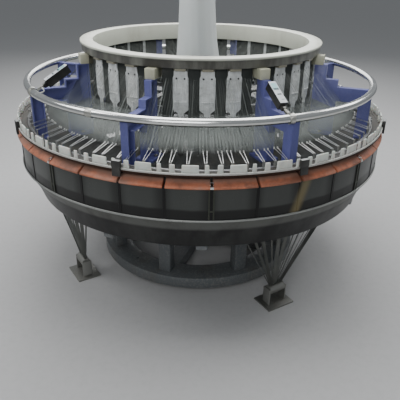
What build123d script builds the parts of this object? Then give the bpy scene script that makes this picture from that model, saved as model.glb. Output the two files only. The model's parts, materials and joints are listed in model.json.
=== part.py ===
from build123d import *
import os
from math import atan2, cos, degrees, exp, hypot, pi, radians, sin

os.makedirs("parts", exist_ok=True)

# The machine stands on the floor at z = 0 and its weaving axis is the Z axis.
# Azimuths are in degrees, from the front (-Y), growing towards the right (+X).
# Sizes are in millimetres.

# General clearances
seat_gap = 0.3
fit_gap = 0.05

# Layout round the axis
bay_count = 32
bays_per_bracket = 4
bracket_azimuth = 25.5
bay_pitch = 360 / bay_count
bay_azimuths = [bracket_azimuth + bay * bay_pitch for bay in range(bay_count)]
bracket_azimuths = bay_azimuths[::bays_per_bracket]

# The rim's outer radius drives the radii round it
rim_outer_radius = 1160
rim_width = 62
lip_overhang = 10
crown_inset = 416
plate_inset = 39
plate_foot_margin = 15
skirt_radius = rim_outer_radius - lip_overhang
crown_radius = rim_outer_radius - crown_inset
plate_radius = crown_radius - plate_inset

# Levelling feet and base
foot_height = 30
foot_pad_radius = 40
foot_pad_height = 12
foot_stem_radius = 15
base_height = 70
base_inner_radius = 520
base_outer_radius = 680
base_cross_width = 110
base_cross_count = 4
base_hub_radius = 110
base_hub_height = 160
base_hub_floor = 80
anchor_hole_radius = 11
column_width = 80
column_depth = 70
lower_column_height = 445

# Lower deck and upper columns
deck_thickness = 25
deck_inset = 190
deck_outer_radius = skirt_radius - deck_inset
deck_hole_radius = 330
deck_lug_width = 60
deck_lug_offset = 14
upper_column_height = 334

# Machine table and its bearing bridge
table_thickness = 30
table_inner_radius = plate_radius - plate_foot_margin
table_edge_gap = 0.5
bridge_width = 90
table_hub_radius = 110
table_hub_height = 60

# Rim ring, orange segments, skirt and lower ring
rim_height = 66
rim_inner_radius = rim_outer_radius - rim_width
rim_wall = 8
rim_top_thickness = 6
rim_lip_width = 7
rim_lip_height = 8
segment_outer_radius = skirt_radius + 15
segment_height = 38
segment_chamfer = 5
segment_lower_edge = 2
segment_seam = 5
panel_thickness = 3
table_outer_radius = skirt_radius - panel_thickness - table_edge_gap
panel_seam = 3
hoop_height = 10
hoop_stand_out = 6
hoop_drop = 238
cone_knee_radius = skirt_radius - 58
cone_knee_drop = 345
cone_foot_radius = skirt_radius - 86
cone_foot_width = 26
cone_foot_height = 6
cone_wall = 5

# Comb ring on the rim
comb_band_width = 26
comb_band_height = 6
comb_height = 52
comb_tooth_depth = 9
comb_tooth_inset = 2
comb_flare = 3
comb_teeth = ((-5.0, 78), (-1.2, 18), (2.1, 24))

# Rim clips
clip_width = 46
clip_thickness = 12
clip_top = 50

# Brackets
bracket_width = 40
bracket_wall = 8
bracket_crown_overlap = 19
bracket_post_depth = 69
bracket_step_depth = 74
bracket_inner_radius = crown_radius - bracket_crown_overlap
bracket_post_radius = bracket_inner_radius + bracket_post_depth
bracket_step_radius = bracket_post_radius + bracket_step_depth
bracket_outer_radius = skirt_radius - 80
bracket_leg_inner_radius = bracket_outer_radius - 70
bracket_post_top = 345
bracket_step_top = 264
bracket_arm_top = 221
bracket_window_top = 140
bracket_foot_width = 104
bracket_foot_height = 12
bolt_radius = 6
bolt_head_flats = 19
bolt_head_height = 8

# Tube ring
tube_ring_radius = bracket_outer_radius
tube_ring_height = 228
tube_radius = 21
tube_wall = 2
tube_joint_azimuth = -29.5
tube_joint_gap = 1.0
sleeve_length = 40
sleeve_wall = 1.2
saddle_length = 34

# Sensor boxes and their clamps
brackets_per_sensor = 2
sensor_offsets = (-1.8, 5.5, -1.8, 5.5)
sensor_length = 146
sensor_width = 38
sensor_height = 44
sensor_tilt = 30
sensor_neck = 16
sensor_edge_radius = 3
sensor_face_height = 3
sensor_face_margin = 2
pivot_inset = 70
pivot_rise = 29
pivot_pin_radius = 5
eye_radius = 12
clamp_length = 24
clamp_wall = 5
clamp_arm_thickness = 12
clamp_arm_height = 13
ear_thickness = 5.5
ear_overlap = 4
ear_edge = 1
pin_stand_out = 2
lead_diameter = 6
lead_bend_radius = 6
lead_exit_drop = 8
lead_first_run = 14
lead_side_reach = 24
lead_entry_drop = 2

# Cream top ring
top_ring_width = 77
top_ring_inner_radius = crown_radius - top_ring_width
top_ring_top = 455
top_ring_height = 105
top_ring_wall = 8
top_ring_flange = 14
top_ring_edge = 2
apron_inset = 8
apron_radius = crown_radius - apron_inset
apron_height = 41
plate_lug_width = 60
plate_lug_depth = 15
plate_lug_inner_radius = plate_radius - plate_lug_depth
bracket_lug_width = 56
bracket_lug_stand_out = 28
bracket_lug_outer_radius = crown_radius + bracket_lug_stand_out

# Heald plates and belts
plate_thickness = 6
plate_width = 82
plate_head_width = 70
plate_head_height = 24
plate_top = 386
plate_shoulder_drop = 12
plate_waist_height = 210
plate_bottom_height = 172
plate_neck_width = 32
plate_hole_radius = 5
plate_hole_spacing = 42
plate_hole_height = 346
belt_thickness = 3
belt_width = 62
belt_bottom = -25
belt_top = 400
belt_set_count = 8

# Reed
reed_outer_radius = 560
reed_ring_width = 80
reed_inner_radius = reed_outer_radius - reed_ring_width
reed_ring_height = 15
reed_lower_top = 95
reed_gap = 130
reed_wire_count = 96
reed_wire_depth = 6
reed_wire_width = 1.5
reed_wire_inset = 8
reed_strut_width = 30
reed_strut_overlap = 10

# Main shaft, pulley, cam and centre post
shaft_radius = 45
shaft_bore_radius = 30
shaft_top = 30
post_radius = 28
post_top = 740
bearing_radius = 60
bearing_height = 40
pulley_radius = 200
pulley_height = 60
pulley_drop = 25
pulley_web = 16
groove_count = 2
groove_depth = 12
groove_width = 14
groove_mouth = 5
belt_loop_thickness = 10
cam_radius = 270
cam_lobe = 22
cam_height = 90
cam_rise = 75
cam_track_width = 26
cam_track_depth = 30
cam_outline_points = 48

# Motor
motor_inset = 140
motor_distance = deck_outer_radius - motor_inset
motor_radius = 100
motor_height = 240
motor_flange = 236
motor_flange_height = 14
motor_cowl_height = 50
motor_cowl_step = 8
terminal_box_stand_out = 45
terminal_box_rise = 40
motor_shaft_radius = 14
motor_shaft_length = 55
motor_hole_radius = 45
motor_pulley_radius = 70

# Shuttles, bobbins and their spider
shuttle_count = 4
shuttle_azimuth = 45
shuttle_reed_gap = 26
shuttle_depth = 130
shuttle_outer_radius = reed_outer_radius - shuttle_reed_gap
shuttle_inner_radius = shuttle_outer_radius - shuttle_depth
shuttle_span = 22
shuttle_tip = 30
shuttle_floor = 8
shuttle_wall = 6
shuttle_wall_height = 46
bobbin_radius = 38
bobbin_length = 180
bobbin_inset = 82
bobbin_orbit_radius = shuttle_outer_radius - bobbin_inset
bobbin_rise = 66
bobbin_side_gap = 3
spindle_radius = 6
spindle_post_thickness = 12
spindle_post_width = 30
spider_arm_width = 60
spider_arm_height = 25
spider_hub_radius = 90
spider_hub_height = 45
spider_arm_overlap = 10
spider_post_inner_reach = 42
spider_post_outer_reach = 16
spider_post_inner_radius = bobbin_orbit_radius - spider_post_inner_reach
spider_post_outer_radius = bobbin_orbit_radius + spider_post_outer_reach

# Weaving ring, spreader and woven tube
fabric_radius = 175
fabric_wall = 1.5
fabric_top = 750
weaving_ring_inner_radius = 172
weaving_ring_outer_radius = 196
weaving_ring_height = 16
weaving_ring_top = 165
weaving_hub_radius = 50
weaving_spoke_width = 24
spreader_thickness = 10
spreader_drop = 50
fabric_flattening = 75
fabric_flattening_length = 240
fabric_section_count = 9
fabric_girth_rounds = 30
fabric_shift = -26
fabric_shift_length = 120

# Warp tapes and dancer arms
tapes_per_bay = 2
tape_spread = 2.4
tape_width = 3
tape_thickness = 1
heald_eye_height = 300
tape_comb_overlap = 2
outer_eye_gap = 4
inner_eye_gap = 2
dancer_rail_width = 14
dancer_rail_top = 6
dancer_per_bay = 6
dancer_wire = 2.6
dancer_root_depth = 2
dancer_bracket_gap = 4
dancer_reach = 113
dancer_tip_radius = rim_inner_radius - dancer_reach
dancer_tip_height = 55

# Floor guides and the tapes that rise from them
guide_count = 4
guide_azimuth = 32
guide_inset = 70
guide_radius = deck_outer_radius - guide_inset
guide_roller_radius = 30
guide_roller_length = 110
guide_roller_height = 100
guide_plate_length = 150
guide_plate_width = 190
guide_plate_thickness = 10
guide_cheek_thickness = 8
fan_count = 8
fan_half_angle = 27
fan_top_radius = skirt_radius - 50
fan_tape_width = 9
fan_tape_thickness = 2

# Levels that follow from the stack
base_bottom = foot_height
base_top = base_bottom + base_height
hub_floor = base_bottom + base_hub_floor
deck_bottom = base_top + lower_column_height
deck_top = deck_bottom + deck_thickness
table_bottom = deck_top + upper_column_height
table_top = table_bottom + table_thickness
rim_top = table_top + rim_height
column_radius = (base_inner_radius + base_outer_radius) / 2
upper_column_radius = deck_outer_radius - column_depth
pulley_top = deck_bottom - pulley_drop
pulley_bottom = pulley_top - pulley_height
reed_lower_level = rim_top + reed_lower_top
reed_upper_level = reed_lower_level + reed_gap
spindle_level = reed_lower_level + seat_gap + bobbin_rise
fabric_bottom = rim_top + weaving_ring_top + seat_gap


def place(azimuth):
    """Turn local X (outwards), Y (towards larger azimuth) to a given azimuth."""
    return Rot(0, 0, azimuth - 90)


def ring(inner, outer, bottom, top):
    """A flat ring about the axis."""
    return Pos(0, 0, bottom) * extrude(Circle(outer) - Circle(inner), top - bottom)


def disc(radius, bottom, top, x=0, y=0):
    """An upright cylinder between two levels."""
    return Pos(x, y, bottom) * Cylinder(radius, top - bottom, align=(Align.CENTER, Align.CENTER, Align.MIN))


def block(inner, outer, width, bottom, top):
    """A box along local X from one radius to another, centred on the radial plane."""
    corner = (Align.MIN, Align.CENTER, Align.MIN)
    return Pos(inner, 0, bottom) * Box(outer - inner, width, top - bottom, align=corner)


def radial_face(points):
    """A face in the upright radial plane from points of radius and level."""
    return Plane.XZ * make_face(Polyline(*points, close=True))


def swept_ring(points, arc=360, start=0):
    """A profile of radius and level turned about the axis."""
    return Rot(0, 0, start) * revolve(radial_face(points), Axis.Z, arc)


def polar(radius, azimuth, level):
    """The point at a radius, azimuth and level."""
    return Vector(radius * sin(radians(azimuth)), -radius * cos(radians(azimuth)), level)


def strip(start, end, width, thickness):
    """A straight flat tape between two points, its flat side facing up as far as it can."""
    along = (end - start).normalized()
    side = along.cross(Vector(0, 0, 1)).normalized()
    frame = Plane(origin=start, x_dir=along, z_dir=side.cross(along))
    return frame * Box((end - start).length, width, thickness, align=(Align.MIN, Align.CENTER, Align.CENTER))


def save(name, *solids):
    """Write one sub-part, which may be a group of separate solids."""
    bodies = [solid for shape in solids for solid in shape.solids()]
    whole = bodies[0] if len(bodies) == 1 else Compound(children=bodies)
    export_step(whole, f"parts/{name}.step")


# Feet, base frame and columns

def levelling_foot(azimuth):
    pad = disc(foot_pad_radius, 0, foot_pad_height)
    stem = disc(foot_stem_radius, foot_pad_height, foot_height)
    return place(azimuth) * Pos(column_radius, 0, 0) * (pad + stem)


def base_frame():
    frame = ring(base_inner_radius, base_outer_radius, base_bottom, base_top)
    frame += disc(base_hub_radius, base_bottom, base_bottom + base_hub_height)
    reach = (base_inner_radius + base_outer_radius) / 2
    for arm in range(base_cross_count):
        azimuth = bracket_azimuth + (arm + 0.5) * 360 / base_cross_count
        frame += place(azimuth) * block(0, reach, base_cross_width, base_bottom, base_top)
    frame -= disc(bearing_radius, hub_floor, base_bottom + base_hub_height)
    half_step = bays_per_bracket * bay_pitch / 2
    for azimuth in bracket_azimuths:
        hole = disc(anchor_hole_radius, base_bottom, base_top)
        frame -= place(azimuth + half_step) * Pos(column_radius, 0, 0) * hole
    return frame


def column(azimuth, radius, bottom, top):
    return place(azimuth) * Pos(radius - column_depth / 2, 0, 0) * block(0, column_depth, column_width, bottom, top)


def lower_columns():
    return [column(azimuth, column_radius, base_top, deck_bottom) for azimuth in bracket_azimuths]


def upper_columns():
    return [column(azimuth, upper_column_radius, deck_top, table_bottom) for azimuth in bracket_azimuths]


def lower_deck():
    deck = ring(deck_hole_radius, deck_outer_radius, deck_bottom, deck_top)
    reach = cone_foot_radius
    for guide in range(guide_count):
        between = guide_azimuth + (guide + 0.5) * 360 / guide_count
        for side in (-1, 1):
            lug = block(deck_outer_radius - deck_lug_width, reach, deck_lug_width, deck_bottom, deck_top)
            deck += place(between + side * deck_lug_offset) * lug
    return deck - disc(motor_hole_radius, deck_bottom, deck_top, 0, motor_distance)


# Machine table, rim and skirt

def machine_table():
    table = ring(table_inner_radius, table_outer_radius, table_bottom, table_top)
    table += disc(table_hub_radius, table_top - table_hub_height, table_top)
    reach = (table_inner_radius + table_outer_radius) / 2
    for arm in range(base_cross_count):
        azimuth = bracket_azimuth + (arm + 0.5) * 360 / base_cross_count
        table += place(azimuth) * block(0, reach, bridge_width, table_bottom, table_top)
    return table - disc(bearing_radius, table_top - table_hub_height, table_top)


def rim_ring():
    """An upright wall with a wide top that overhangs the segments and ends in a lip."""
    inner = rim_inner_radius
    outer = rim_outer_radius
    under = rim_top - rim_top_thickness
    lip = rim_top + rim_lip_height
    return swept_ring([
        (inner, table_top), (inner + rim_wall, table_top), (inner + rim_wall, under),
        (outer, under), (outer, lip), (outer - rim_lip_width, lip), (outer - rim_lip_width, rim_top), (inner, rim_top),
    ])


def rim_segment(azimuth):
    """One orange shelf between the rim's wall and the skirt's edge."""
    inner = rim_inner_radius + rim_wall + seat_gap
    outer = segment_outer_radius
    edge = segment_lower_edge
    top = table_top + segment_height
    seam_angle = degrees(segment_seam / outer)
    profile = [
        (inner, table_top), (outer - edge, table_top), (outer, table_top + edge),
        (outer, top - segment_chamfer), (outer - segment_chamfer, top), (inner, top),
    ]
    return swept_ring(profile, bay_pitch - seam_angle, azimuth - 90 + seam_angle / 2)


def skirt_panel(azimuth):
    outer = skirt_radius
    seam_angle = degrees(panel_seam / outer)
    bottom = rim_top - hoop_drop
    profile = [
        (outer - panel_thickness, bottom), (outer, bottom), (outer, table_top), (outer - panel_thickness, table_top),
    ]
    return swept_ring(profile, bay_pitch - seam_angle, azimuth - 90 + seam_angle / 2)


def lower_cone():
    hoop_top = rim_top - hoop_drop
    hoop_bottom = hoop_top - hoop_height
    hoop_outer = skirt_radius + hoop_stand_out
    knee = rim_top - cone_knee_drop
    foot_top = deck_top + cone_foot_height
    return swept_ring([
        (cone_foot_radius - cone_foot_width, deck_top), (cone_foot_radius, deck_top),
        (cone_knee_radius, knee), (skirt_radius, hoop_bottom), (hoop_outer, hoop_bottom),
        (hoop_outer, hoop_top), (skirt_radius - 2 * cone_wall, hoop_top),
        (skirt_radius - 2 * cone_wall, hoop_bottom), (cone_knee_radius - cone_wall, knee),
        (cone_foot_radius - cone_wall, foot_top), (cone_foot_radius - cone_foot_width, foot_top),
    ])


def comb_ring():
    outer = rim_outer_radius - rim_lip_width - seat_gap
    base = rim_top
    band_top = base + comb_band_height
    comb = ring(outer - comb_band_width, outer, base, band_top)
    teeth = []
    for azimuth in bay_azimuths:
        for offset, width in comb_teeth:
            half = width / 2
            outline = Plane.YZ * make_face(Polyline(
                (-half - comb_flare, base), (half + comb_flare, base),
                (half, base + comb_height), (-half, base + comb_height), close=True))
            tooth = Pos(outer - comb_tooth_depth - comb_tooth_inset, 0, 0) * extrude(outline, comb_tooth_depth)
            teeth.append(place(azimuth + offset) * tooth)
    return comb + teeth


def rim_clip(azimuth):
    """A block on the lip with a leg down to the segments."""
    inner = rim_outer_radius - rim_lip_width
    outer = rim_outer_radius + seat_gap
    lip = rim_top + rim_lip_height
    foot = table_top + segment_height + seat_gap
    clip = block(inner, outer + clip_thickness, clip_width, lip, rim_top + clip_top)
    clip += block(outer, outer + clip_thickness, clip_width, foot, rim_top + clip_top)
    return place(azimuth) * clip


# Brackets, tube ring and sensors

def bracket_outline():
    return [
        (bracket_inner_radius, table_top), (bracket_inner_radius, rim_top + bracket_post_top),
        (bracket_post_radius, rim_top + bracket_post_top), (bracket_post_radius, rim_top + bracket_step_top),
        (bracket_step_radius, rim_top + bracket_step_top), (bracket_step_radius, rim_top + bracket_arm_top),
        (bracket_outer_radius, rim_top + bracket_arm_top), (bracket_outer_radius, table_top),
        (bracket_leg_inner_radius, table_top), (bracket_leg_inner_radius, rim_top + bracket_window_top),
        (bracket_step_radius, rim_top + bracket_window_top), (bracket_step_radius, table_top),
    ]


def bolt_places():
    """Radius and side offset of the four bolts that hold one bracket."""
    side = (bracket_width + bracket_foot_width) / 4
    inner = (bracket_inner_radius + bracket_step_radius) / 2
    outer = (bracket_leg_inner_radius + bracket_outer_radius) / 2
    return [(radius, sign * side) for radius in (inner, outer) for sign in (-1, 1)]


def bracket(azimuth):
    face = radial_face(bracket_outline())
    half = bracket_width / 2
    body = Pos(0, half, 0) * extrude(face, bracket_width)
    inside = offset(face, amount=-bracket_wall)
    body -= Pos(0, half, 0) * extrude(inside, bracket_width - bracket_wall)
    saddle_top = rim_top + bracket_arm_top
    saddle_inner = bracket_outer_radius - saddle_length
    body += block(saddle_inner, bracket_outer_radius, bracket_width, saddle_top - saddle_length, saddle_top)
    tube = Pos(0, 0, rim_top + tube_ring_height) * Torus(tube_ring_radius, tube_radius + seat_gap)
    body -= tube
    foot_top = table_top + bracket_foot_height
    foot_edge = 2 * bracket_wall
    feet = block(bracket_inner_radius + foot_edge, bracket_step_radius, bracket_foot_width, table_top, foot_top)
    feet += block(bracket_leg_inner_radius, bracket_outer_radius, bracket_foot_width, table_top, foot_top)
    body += feet
    for radius, side in bolt_places():
        body -= disc(bolt_radius + fit_gap, table_top, foot_top, radius, side)
    return place(azimuth) * body


def bracket_bolts(azimuth):
    foot_top = table_top + bracket_foot_height
    bolts = []
    for radius, side in bolt_places():
        head = extrude(RegularPolygon(bolt_head_flats / 2, 6, major_radius=False), bolt_head_height)
        bolt = Pos(radius, side, foot_top) * head + disc(bolt_radius, table_top, foot_top, radius, side)
        bolts.append(place(azimuth) * bolt)
    return bolts


def tube_section(inner, outer, arc, start):
    """Part of a ring tube about the axis, from one azimuth over an arc."""
    circle = Plane.XZ * Pos(tube_ring_radius, rim_top + tube_ring_height) * (Circle(outer) - Circle(inner))
    return Rot(0, 0, start - 90) * revolve(circle, Axis.Z, arc)


def tube_ring():
    gap_angle = degrees(tube_joint_gap / tube_ring_radius)
    start = tube_joint_azimuth + gap_angle / 2
    return tube_section(tube_radius - tube_wall, tube_radius, 360 - gap_angle, start)


def tube_sleeve():
    arc = degrees(sleeve_length / tube_ring_radius)
    inner = tube_radius + seat_gap
    return tube_section(inner, inner + sleeve_wall, arc, tube_joint_azimuth - arc / 2)


sensor_brackets = bracket_azimuths[::brackets_per_sensor]
sensor_azimuths = [azimuth + offset_angle for azimuth, offset_angle in zip(sensor_brackets, sensor_offsets)]
pivot_radius = tube_ring_radius - pivot_inset
pivot_level = rim_top + tube_ring_height + pivot_rise


def pivot_bar(radius, width):
    """A round bar across the pivot, along local Y."""
    return Pos(pivot_radius, 0, pivot_level) * Rot(90, 0, 0) * Cylinder(radius, width)


def sensor_clamp(azimuth):
    arc = degrees(clamp_length / tube_ring_radius)
    inner = tube_radius + seat_gap
    grip = tube_section(inner, inner + clamp_wall, arc, azimuth - arc / 2)
    slope = degrees(atan2(pivot_rise, pivot_inset))
    reach = hypot(pivot_rise, pivot_inset) - inner - clamp_wall / 2
    arm = Rot(0, slope, 0) * Box(reach, clamp_arm_thickness, clamp_arm_height, align=(Align.MIN, Align.CENTER, Align.CENTER))
    arm = Pos(pivot_radius, 0, pivot_level) * arm
    arm += pivot_bar(eye_radius, clamp_arm_thickness)
    arm -= pivot_bar(pivot_pin_radius + fit_gap, clamp_arm_thickness)
    return grip + place(azimuth) * arm


def sensor(azimuth):
    tilt = radians(sensor_tilt)
    frame = Plane(origin=(pivot_radius, 0, pivot_level), x_dir=(-cos(tilt), 0, sin(tilt)), z_dir=(sin(tilt), 0, cos(tilt)))
    start = (Align.MIN, Align.CENTER, Align.CENTER)
    body = Pos(sensor_neck, 0, 0) * Box(sensor_length, sensor_width, sensor_height, align=start)
    body = fillet(body.edges().filter_by(Axis.X), sensor_edge_radius)
    face_bottom = sensor_height / 2 - sensor_face_height
    face_length = sensor_length + 2 * sensor_face_margin
    face = Pos(sensor_neck - sensor_face_margin, 0, face_bottom) * Box(
        face_length, sensor_width + 2 * sensor_face_margin, 2 * sensor_face_height, align=(Align.MIN, Align.CENTER, Align.MIN))
    body += face
    ear_inner = clamp_arm_thickness / 2 + seat_gap
    for side in (-1, 1):
        middle = side * (ear_inner + ear_thickness / 2)
        ear = Box(sensor_neck + ear_overlap, ear_thickness, 2 * (eye_radius - ear_edge), align=start)
        ear += Rot(90, 0, 0) * Cylinder(eye_radius - ear_edge, ear_thickness)
        body += Pos(0, middle, 0) * ear
    body += Rot(90, 0, 0) * Cylinder(pivot_pin_radius, 2 * (ear_inner + ear_thickness + pin_stand_out))
    return place(azimuth) * (frame * body)


def sensor_lead(azimuth):
    """The short white lead that runs from the clamp's arm down to the tube ring."""
    side = clamp_arm_thickness / 2
    tube_level = rim_top + tube_ring_height
    exit_radius = pivot_radius + eye_radius + lead_diameter
    exit_level = pivot_level - lead_exit_drop
    reach = side + lead_side_reach
    route = [
        (exit_radius, side, exit_level), (exit_radius, side + lead_first_run, exit_level - 1),
        (exit_radius - lead_bend_radius, reach, tube_level - lead_entry_drop),
        (tube_ring_radius - tube_radius - seat_gap, reach, tube_level),
    ]
    path = FilletPolyline(*route, radius=lead_bend_radius)
    section = Plane(origin=path @ 0, z_dir=path % 0) * Circle(lead_diameter / 2)
    return place(azimuth) * sweep(section, path)


# Cream top ring, heald plates and heald belts

def top_ring():
    top = rim_top + top_ring_top
    under = top - top_ring_flange
    bottom = top - top_ring_height
    inner = top_ring_inner_radius
    outer = crown_radius
    apron_inner = apron_radius - top_ring_wall
    edge = top_ring_edge
    body = swept_ring([
        (inner, bottom), (inner + top_ring_wall, bottom), (inner + top_ring_wall, under),
        (apron_inner, under), (apron_inner, under - apron_height), (apron_radius, under - apron_height),
        (apron_radius, under), (outer, under), (outer, top - edge),
        (outer - edge, top), (inner + edge, top), (inner, top - edge),
    ])
    lugs = []
    for bay, azimuth in enumerate(bay_azimuths):
        if bay % bays_per_bracket:
            lug = block(inner + top_ring_wall, apron_inner, plate_lug_width, rim_top + plate_top, under)
        else:
            lug = block(inner + top_ring_wall, apron_inner, bracket_lug_width, rim_top + bracket_post_top, under)
            lug += block(plate_lug_inner_radius, bracket_lug_outer_radius, bracket_lug_width,
                         rim_top + bracket_post_top, under - apron_height)
        lugs.append(place(azimuth) * lug)
    return body + lugs


def heald_plate(azimuth):
    half = plate_width / 2
    head = plate_head_width / 2
    neck = plate_neck_width / 2
    top = rim_top + plate_top
    shoulder = top - plate_head_height
    outline = Plane.YZ * make_face(Polyline(
        (-neck, table_top), (neck, table_top), (neck, rim_top + plate_bottom_height),
        (half, rim_top + plate_waist_height), (half, shoulder - plate_shoulder_drop), (head, shoulder), (head, top),
        (-head, top), (-head, shoulder), (-half, shoulder - plate_shoulder_drop),
        (-half, rim_top + plate_waist_height), (-neck, rim_top + plate_bottom_height), close=True))
    plate = Pos(plate_radius, 0, 0) * extrude(outline, plate_thickness)
    for side in (-1, 1):
        hole = Rot(0, 90, 0) * Cylinder(plate_hole_radius, 4 * plate_thickness)
        plate -= Pos(plate_radius, side * plate_hole_spacing / 2, rim_top + plate_hole_height) * hole
    return place(azimuth) * plate


half_pitch = radians(bay_pitch / 2)
belt_front = (plate_radius - seat_gap - belt_width / 2 * sin(half_pitch)) / cos(half_pitch)
belt_back = belt_front - belt_thickness


def heald_belt(azimuth):
    return place(azimuth) * block(belt_back, belt_front, belt_width, rim_top + belt_bottom, rim_top + belt_top)


def heald_belt_set(index):
    """Four belts, a quarter turn apart, that the cam lifts together."""
    azimuths = [azimuth + bay_pitch / 2 for azimuth in bay_azimuths[index::belt_set_count]]
    return [heald_belt(azimuth) for azimuth in azimuths]


# Reed, shuttles and spider

def reed_ring(top):
    """A flat ring with struts to the brackets."""
    bottom = top - reed_ring_height
    body = ring(reed_inner_radius, reed_outer_radius, bottom, top)
    struts = []
    for azimuth in bracket_azimuths:
        strut = block(reed_outer_radius - reed_strut_overlap, bracket_inner_radius, reed_strut_width, bottom, top)
        struts.append(place(azimuth) * strut)
    return body + struts


def reed_wires():
    """The flat wires that stand between the two reed rings."""
    radius = reed_outer_radius - reed_wire_inset
    wires = []
    for index in range(reed_wire_count):
        wire = block(radius - reed_wire_depth, radius, reed_wire_width, reed_lower_level, reed_upper_level)
        wires.append(place((index + 0.5) * 360 / reed_wire_count) * wire)
    return wires


shuttle_azimuths = [shuttle_azimuth + index * 360 / shuttle_count for index in range(shuttle_count)]


def shuttle(azimuth):
    floor = reed_lower_level + seat_gap
    span = radians(shuttle_span)
    tip = radians(shuttle_tip)
    middle = (shuttle_inner_radius + shuttle_outer_radius) / 2

    def at(radius, angle):
        return radius * cos(angle), radius * sin(angle)

    outline = make_face([
        ThreePointArc(at(shuttle_outer_radius, -span), at(shuttle_outer_radius, 0), at(shuttle_outer_radius, span)),
        Line(at(shuttle_outer_radius, span), at(middle, tip)),
        Line(at(middle, tip), at(shuttle_inner_radius, span)),
        ThreePointArc(at(shuttle_inner_radius, span), at(shuttle_inner_radius, 0), at(shuttle_inner_radius, -span)),
        Line(at(shuttle_inner_radius, -span), at(middle, -tip)),
        Line(at(middle, -tip), at(shuttle_outer_radius, -span)),
    ])
    body = Pos(0, 0, floor) * extrude(outline, shuttle_floor)
    wall = [
        (shuttle_outer_radius - shuttle_wall, floor), (shuttle_outer_radius, floor),
        (shuttle_outer_radius, floor + shuttle_wall_height), (shuttle_outer_radius - shuttle_wall, floor + shuttle_wall_height),
    ]
    body += swept_ring(wall, 2 * shuttle_span, -shuttle_span)
    post_inner = bobbin_length / 2 + bobbin_side_gap
    for side in (-1, 1):
        centre = side * (post_inner + spindle_post_thickness / 2)
        height = spindle_level + spindle_post_width / 2 - floor
        post = Pos(bobbin_orbit_radius, centre, floor) * Box(
            spindle_post_width, spindle_post_thickness, height, align=(Align.CENTER, Align.CENTER, Align.MIN))
        body += post
    hole = Rot(90, 0, 0) * Cylinder(spindle_radius + fit_gap, bobbin_length + 4 * spindle_post_thickness)
    return place(azimuth) * (body - Pos(bobbin_orbit_radius, 0, spindle_level) * hole)


def bobbin(azimuth):
    wound = Rot(90, 0, 0) * Cylinder(bobbin_radius, bobbin_length)
    spindle = Rot(90, 0, 0) * Cylinder(spindle_radius, bobbin_length + 2 * bobbin_side_gap + 2 * spindle_post_thickness)
    return place(azimuth) * Pos(bobbin_orbit_radius, 0, spindle_level) * (wound + spindle)


def shuttle_spider():
    top = rim_top + shaft_top
    hub_bottom = top - spider_hub_height
    body = ring(shaft_radius + fit_gap, spider_hub_radius, hub_bottom, top)
    for azimuth in shuttle_azimuths:
        arm = block(spider_hub_radius - spider_arm_overlap, spider_post_outer_radius, spider_arm_width, hub_bottom, hub_bottom + spider_arm_height)
        arm += block(spider_post_inner_radius, spider_post_outer_radius, spider_arm_width, hub_bottom,
                     reed_lower_level + seat_gap)
        body += place(azimuth) * arm
    return body


# Shaft, bearings, cam, pulleys and belts

def main_shaft():
    return ring(shaft_bore_radius, shaft_radius, hub_floor + seat_gap, rim_top + shaft_top)


def bearing(top):
    return ring(shaft_radius + fit_gap, bearing_radius - fit_gap, top - bearing_height, top)


def cam_drum():
    bottom = deck_top + cam_rise
    points = []
    for step in range(cam_outline_points):
        angle = 2 * pi * step / cam_outline_points
        radius = cam_radius + cam_lobe * cos(shuttle_count * angle)
        points.append((radius * cos(angle), radius * sin(angle)))
    outline = make_face(Spline(*points, periodic=True))
    body = Pos(0, 0, bottom) * extrude(outline, cam_height)
    track_outer = cam_radius - 2 * cam_lobe
    track_top = bottom + cam_height
    body -= ring(track_outer - cam_track_width, track_outer, track_top - cam_track_depth, track_top)
    return body - disc(shaft_radius + fit_gap, bottom, track_top)


def grooves(radius, bottom):
    """The belt grooves of a pulley, as rings to cut away."""
    pitch = pulley_height / groove_count
    cutters = []
    for index in range(groove_count):
        low = bottom + pitch * (index + 0.5) - groove_width / 2
        cutters.append(ring(radius - groove_depth, radius + groove_mouth, low, low + groove_width))
    return cutters


def driven_pulley():
    body = ring(shaft_radius + fit_gap, pulley_radius, pulley_bottom, pulley_top) - grooves(pulley_radius, pulley_bottom)
    web_bottom = (pulley_bottom + pulley_top - pulley_web) / 2
    rim = pulley_radius - 3 * groove_depth
    hub = 2 * shaft_radius
    return body - ring(hub, rim, pulley_bottom, web_bottom) - ring(hub, rim, web_bottom + pulley_web, pulley_top)


def motor_pulley():
    body = disc(motor_pulley_radius, pulley_bottom, pulley_top) - grooves(motor_pulley_radius, pulley_bottom)
    body += disc(motor_shaft_radius, pulley_top, deck_top + motor_shaft_length)
    return Pos(0, motor_distance, 0) * body


def belt_loop(extra):
    """The outline round both pulleys, offset from their groove floors."""
    large = Circle(pulley_radius - groove_depth + extra)
    small = Pos(0, motor_distance) * Circle(motor_pulley_radius - groove_depth + extra)
    return make_hull(large.edges() + small.edges())


def drive_belts():
    loop = belt_loop(seat_gap + belt_loop_thickness) - belt_loop(seat_gap)
    width = groove_width - 2 * seat_gap
    pitch = pulley_height / groove_count
    return [Pos(0, 0, pulley_bottom + pitch * (index + 0.5) - width / 2) * extrude(loop, width)
            for index in range(groove_count)]


def motor():
    flange_top = deck_top + motor_flange_height
    body_top = flange_top + motor_height
    lower = (Align.CENTER, Align.CENTER, Align.MIN)
    body = Pos(0, 0, deck_top) * Box(motor_flange, motor_flange, motor_flange_height, align=lower)
    body += disc(motor_radius, flange_top, body_top)
    body += disc(motor_radius + motor_cowl_step, body_top - motor_cowl_height, body_top)
    box_width = motor_radius
    terminal = Box(box_width, motor_radius + terminal_box_stand_out, box_width, align=(Align.CENTER, Align.MIN, Align.MIN))
    body += Pos(0, 0, flange_top + terminal_box_rise) * terminal
    body -= disc(motor_shaft_radius + fit_gap, deck_top, deck_top + motor_shaft_length + seat_gap)
    return Pos(0, motor_distance, 0) * body


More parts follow.
